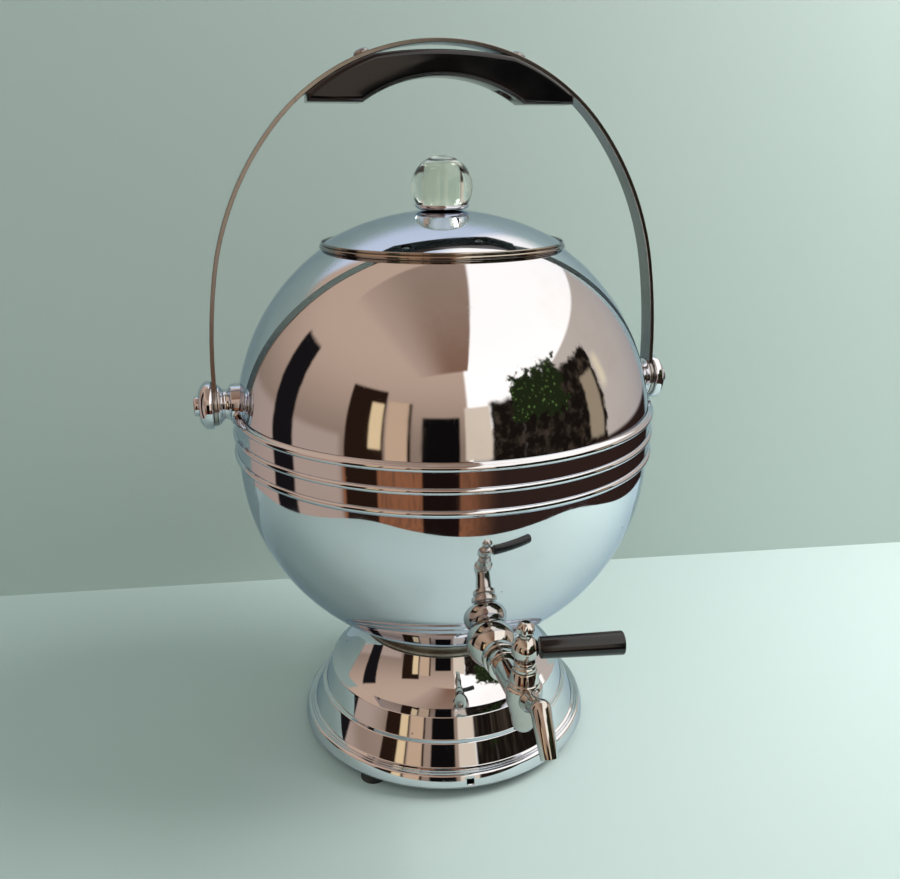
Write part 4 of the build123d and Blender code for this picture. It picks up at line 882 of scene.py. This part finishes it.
def room():
    """The world: a plain level for light, and for polished metal a warm room with a darker ceiling."""
    world = bpy.data.worlds.new("room")
    bpy.context.scene.world = world
    world.use_nodes = True
    f = Finish(world.node_tree)
    where = f.node("TexCoord", output="Generated")
    x, y, z = f.split(where)
    across = x.maths("ARCTAN2", x, y * -1)
    ragged = f.node("TexNoise", Vector=where, Scale=14.0, Detail=4.0) - 0.5

    # over and along are places on a flat ceiling one metre up
    rise = z.maths("MAXIMUM", z, 0.02)
    over, along = x / rise, y / rise

    def patch(colour, tone, left, right, low, high, soft=0.015, wobble=0.0):
        """Paint one block of the room between two directions and two heights."""
        side = across + ragged * wobble
        height = z + ragged * wobble
        inside = side.between(left - soft, left + soft) * side.between(right + soft, right - soft)
        inside = inside * height.between(low - soft, low + soft)
        inside = inside * height.between(high + soft, high - soft)
        return f.mix(inside, colour, tone)

    # A brown wall on the left, a white one on the right, and what is above it
    left_wall = f.mix(z.between(-0.1, 0.7), (0.30, 0.21, 0.16), (0.58, 0.41, 0.31))
    white = f.mix(z.between(0.2, 0.9), (1.45, 1.35, 1.25), (1.30, 1.22, 1.15))
    seen = f.mix(across.between(-0.03, 0.01), left_wall, white)
    seen = f.mix(over.between(1.42, 1.50), seen, (0.60, 0.51, 0.44))

    # The darker ceiling
    shade = f.mix((along + ragged * 0.3).between(-1.3, 0.2), (0.25, 0.135, 0.088), (0.34, 0.235, 0.18))
    shade = f.mix(over.between(-0.15, -0.60), shade, (0.48, 0.34, 0.265))
    edge = over - along * 0.113
    ceiling = over.between(-0.74, -0.54) * edge.between(0.205, 0.175)
    ceiling = ceiling * along.between(-1.30, -1.22) * along.between(0.27, 0.23)
    seen = f.mix(ceiling, seen, shade)

    # Bluish daylight behind the object
    beyond = (along - abs(over) * 1.2).between(0.20, 0.45) * z.between(0.05, 0.15)
    seen = f.mix(beyond, seen, (0.66, 0.73, 0.86))

    # Furniture, doors and leaves as soft blocks
    leafy = f.node("TexVoronoi", Vector=where, Scale=26.0, output="Distance")
    mottled = f.node("TexNoise", Vector=where, Scale=34.0, Detail=3.0).between(0.40, 0.66)
    bark = f.mix(ragged.between(-0.05, 0.30), (0.010, 0.007, 0.005), (0.070, 0.050, 0.036))
    dapple = (mottled * leafy.between(0.5, 0.2)).between(0.1, 0.9)
    leaves = f.mix(dapple, (0.016, 0.022, 0.008), (0.10, 0.17, 0.045))
    # Each block's tone, its left, right, bottom and top, then how soft and how ragged its edges are
    blocks = (
        (bark, 0.20, 0.52, -0.6, 0.37, 0.03, 0.08),
        (bark, 0.50, 1.45, -0.6, 0.44, 0.02, 0.12),
        (leaves, 0.44, 1.02, 0.16, 0.53, 0.02, 0.30),
        ((0.36, 0.28, 0.19), 1.22, 1.40, -0.14, 0.30, 0.02, 0.05),
        ((0.85, 0.72, 0.52), 1.47, 1.56, 0.14, 0.34, 0.04),
        ((0.80, 0.66, 0.52), -0.04, 0.20, -0.12, 0.34),
        ((0.46, 0.34, 0.28), -2.60, -1.20, -0.8, 0.02, 0.04),
        ((0.010, 0.008, 0.009), -2.01, -1.73, -0.8, 0.52, 0.02, 0.02),
        ((0.022, 0.010, 0.006), -1.15, -0.78, -0.6, 0.44),
        ((0.85, 0.62, 0.36), -0.92, -0.80, -0.05, 0.34),
        ((0.62, 0.42, 0.28), -0.76, -0.54, -0.16, 0.37),
        ((0.015, 0.008, 0.006), -0.56, -0.53, -0.16, 0.37),
        ((0.005, 0.004, 0.004), -0.43, -0.09, -0.6, 0.26),
    )
    for block in blocks:
        seen = patch(seen, *block)

    # Floor boards, darker on the right
    boards = f.mix(mottled, (0.30, 0.115, 0.055), (0.20, 0.085, 0.045))
    ground = f.mix(across.between(-0.1, 0.3), boards, (0.034, 0.018, 0.014))
    ground = patch(ground, (0.012, 0.006, 0.005), -0.43, -0.09, -0.8, 0.0)
    ground = patch(ground, (0.022, 0.010, 0.006), -1.15, -0.84, -0.8, 0.0)
    seen = f.mix(z.between(-0.15, -0.18) * across.between(-1.20, -1.16), seen, ground)

    even_light = (0.33, 0.385, 0.365)
    glossy = f.node("LightPath", output="Is Glossy Ray")
    colour = f.mix(glossy, even_light, seen)
    f.node("OutputWorld", Surface=f.node("Background", Color=colour, Strength=1.0))


def camera():
    """The view of the photograph."""
    sensor, focal_share = 36, 0.985
    eye = bpy.data.cameras.new("camera")
    eye.sensor_width = sensor
    eye.lens = sensor * focal_share
    eye.clip_start = 0.01
    holder = bpy.data.objects.new("camera", eye)
    holder.location = (-0.1065, -0.4329, 0.3102)
    holder.rotation_euler = (radians(90 - 18.13), radians(0.1), radians(-14.33))
    bpy.context.scene.collection.objects.link(holder)
    bpy.context.scene.camera = holder
    bpy.context.scene.view_settings.view_transform = "Standard"


upper_globe()
lower_globe()
belt()
neck()
inlet_hole(base())
lid()
knob()
feet()
tap()
tap_lever()
pivots()
strap()
grip()

dress(plain_steel, "base_plate", "foot_screws", "tie_stud", "tie_washer", "tie_nut", "element_nuts")
dress(plain_steel, "handle_stud", "pivot_washers", "pivot_nuts", "grip_nuts")
dress(plain_steel, "knob_screw", "knob_washer", "knob_nut")
dress(dull_plating, "mouth_ring", "lid_skirt", "inlet_shroud")
dress(plain_brass, "tap_saddle", "tap_nut", "inlet_pins")
dress(element_steel, "heating_element")
dress(rubber, "element_seals")
dress(clay, "inlet_insulator")
dress(sleeve, "inner_leads")

stage()
lamp("daylight", (0.70, -0.10, 0.75), (0.30, 0.05, 0.0), (0.6, 0.6), 10.0, (1.0, 0.985, 0.98))
lamp("fill", (-0.6, -0.6, 0.9), (-0.1, -0.1, 0), (0.8, 0.8), 2.0, (1.0, 0.97, 0.94))
room()
camera()
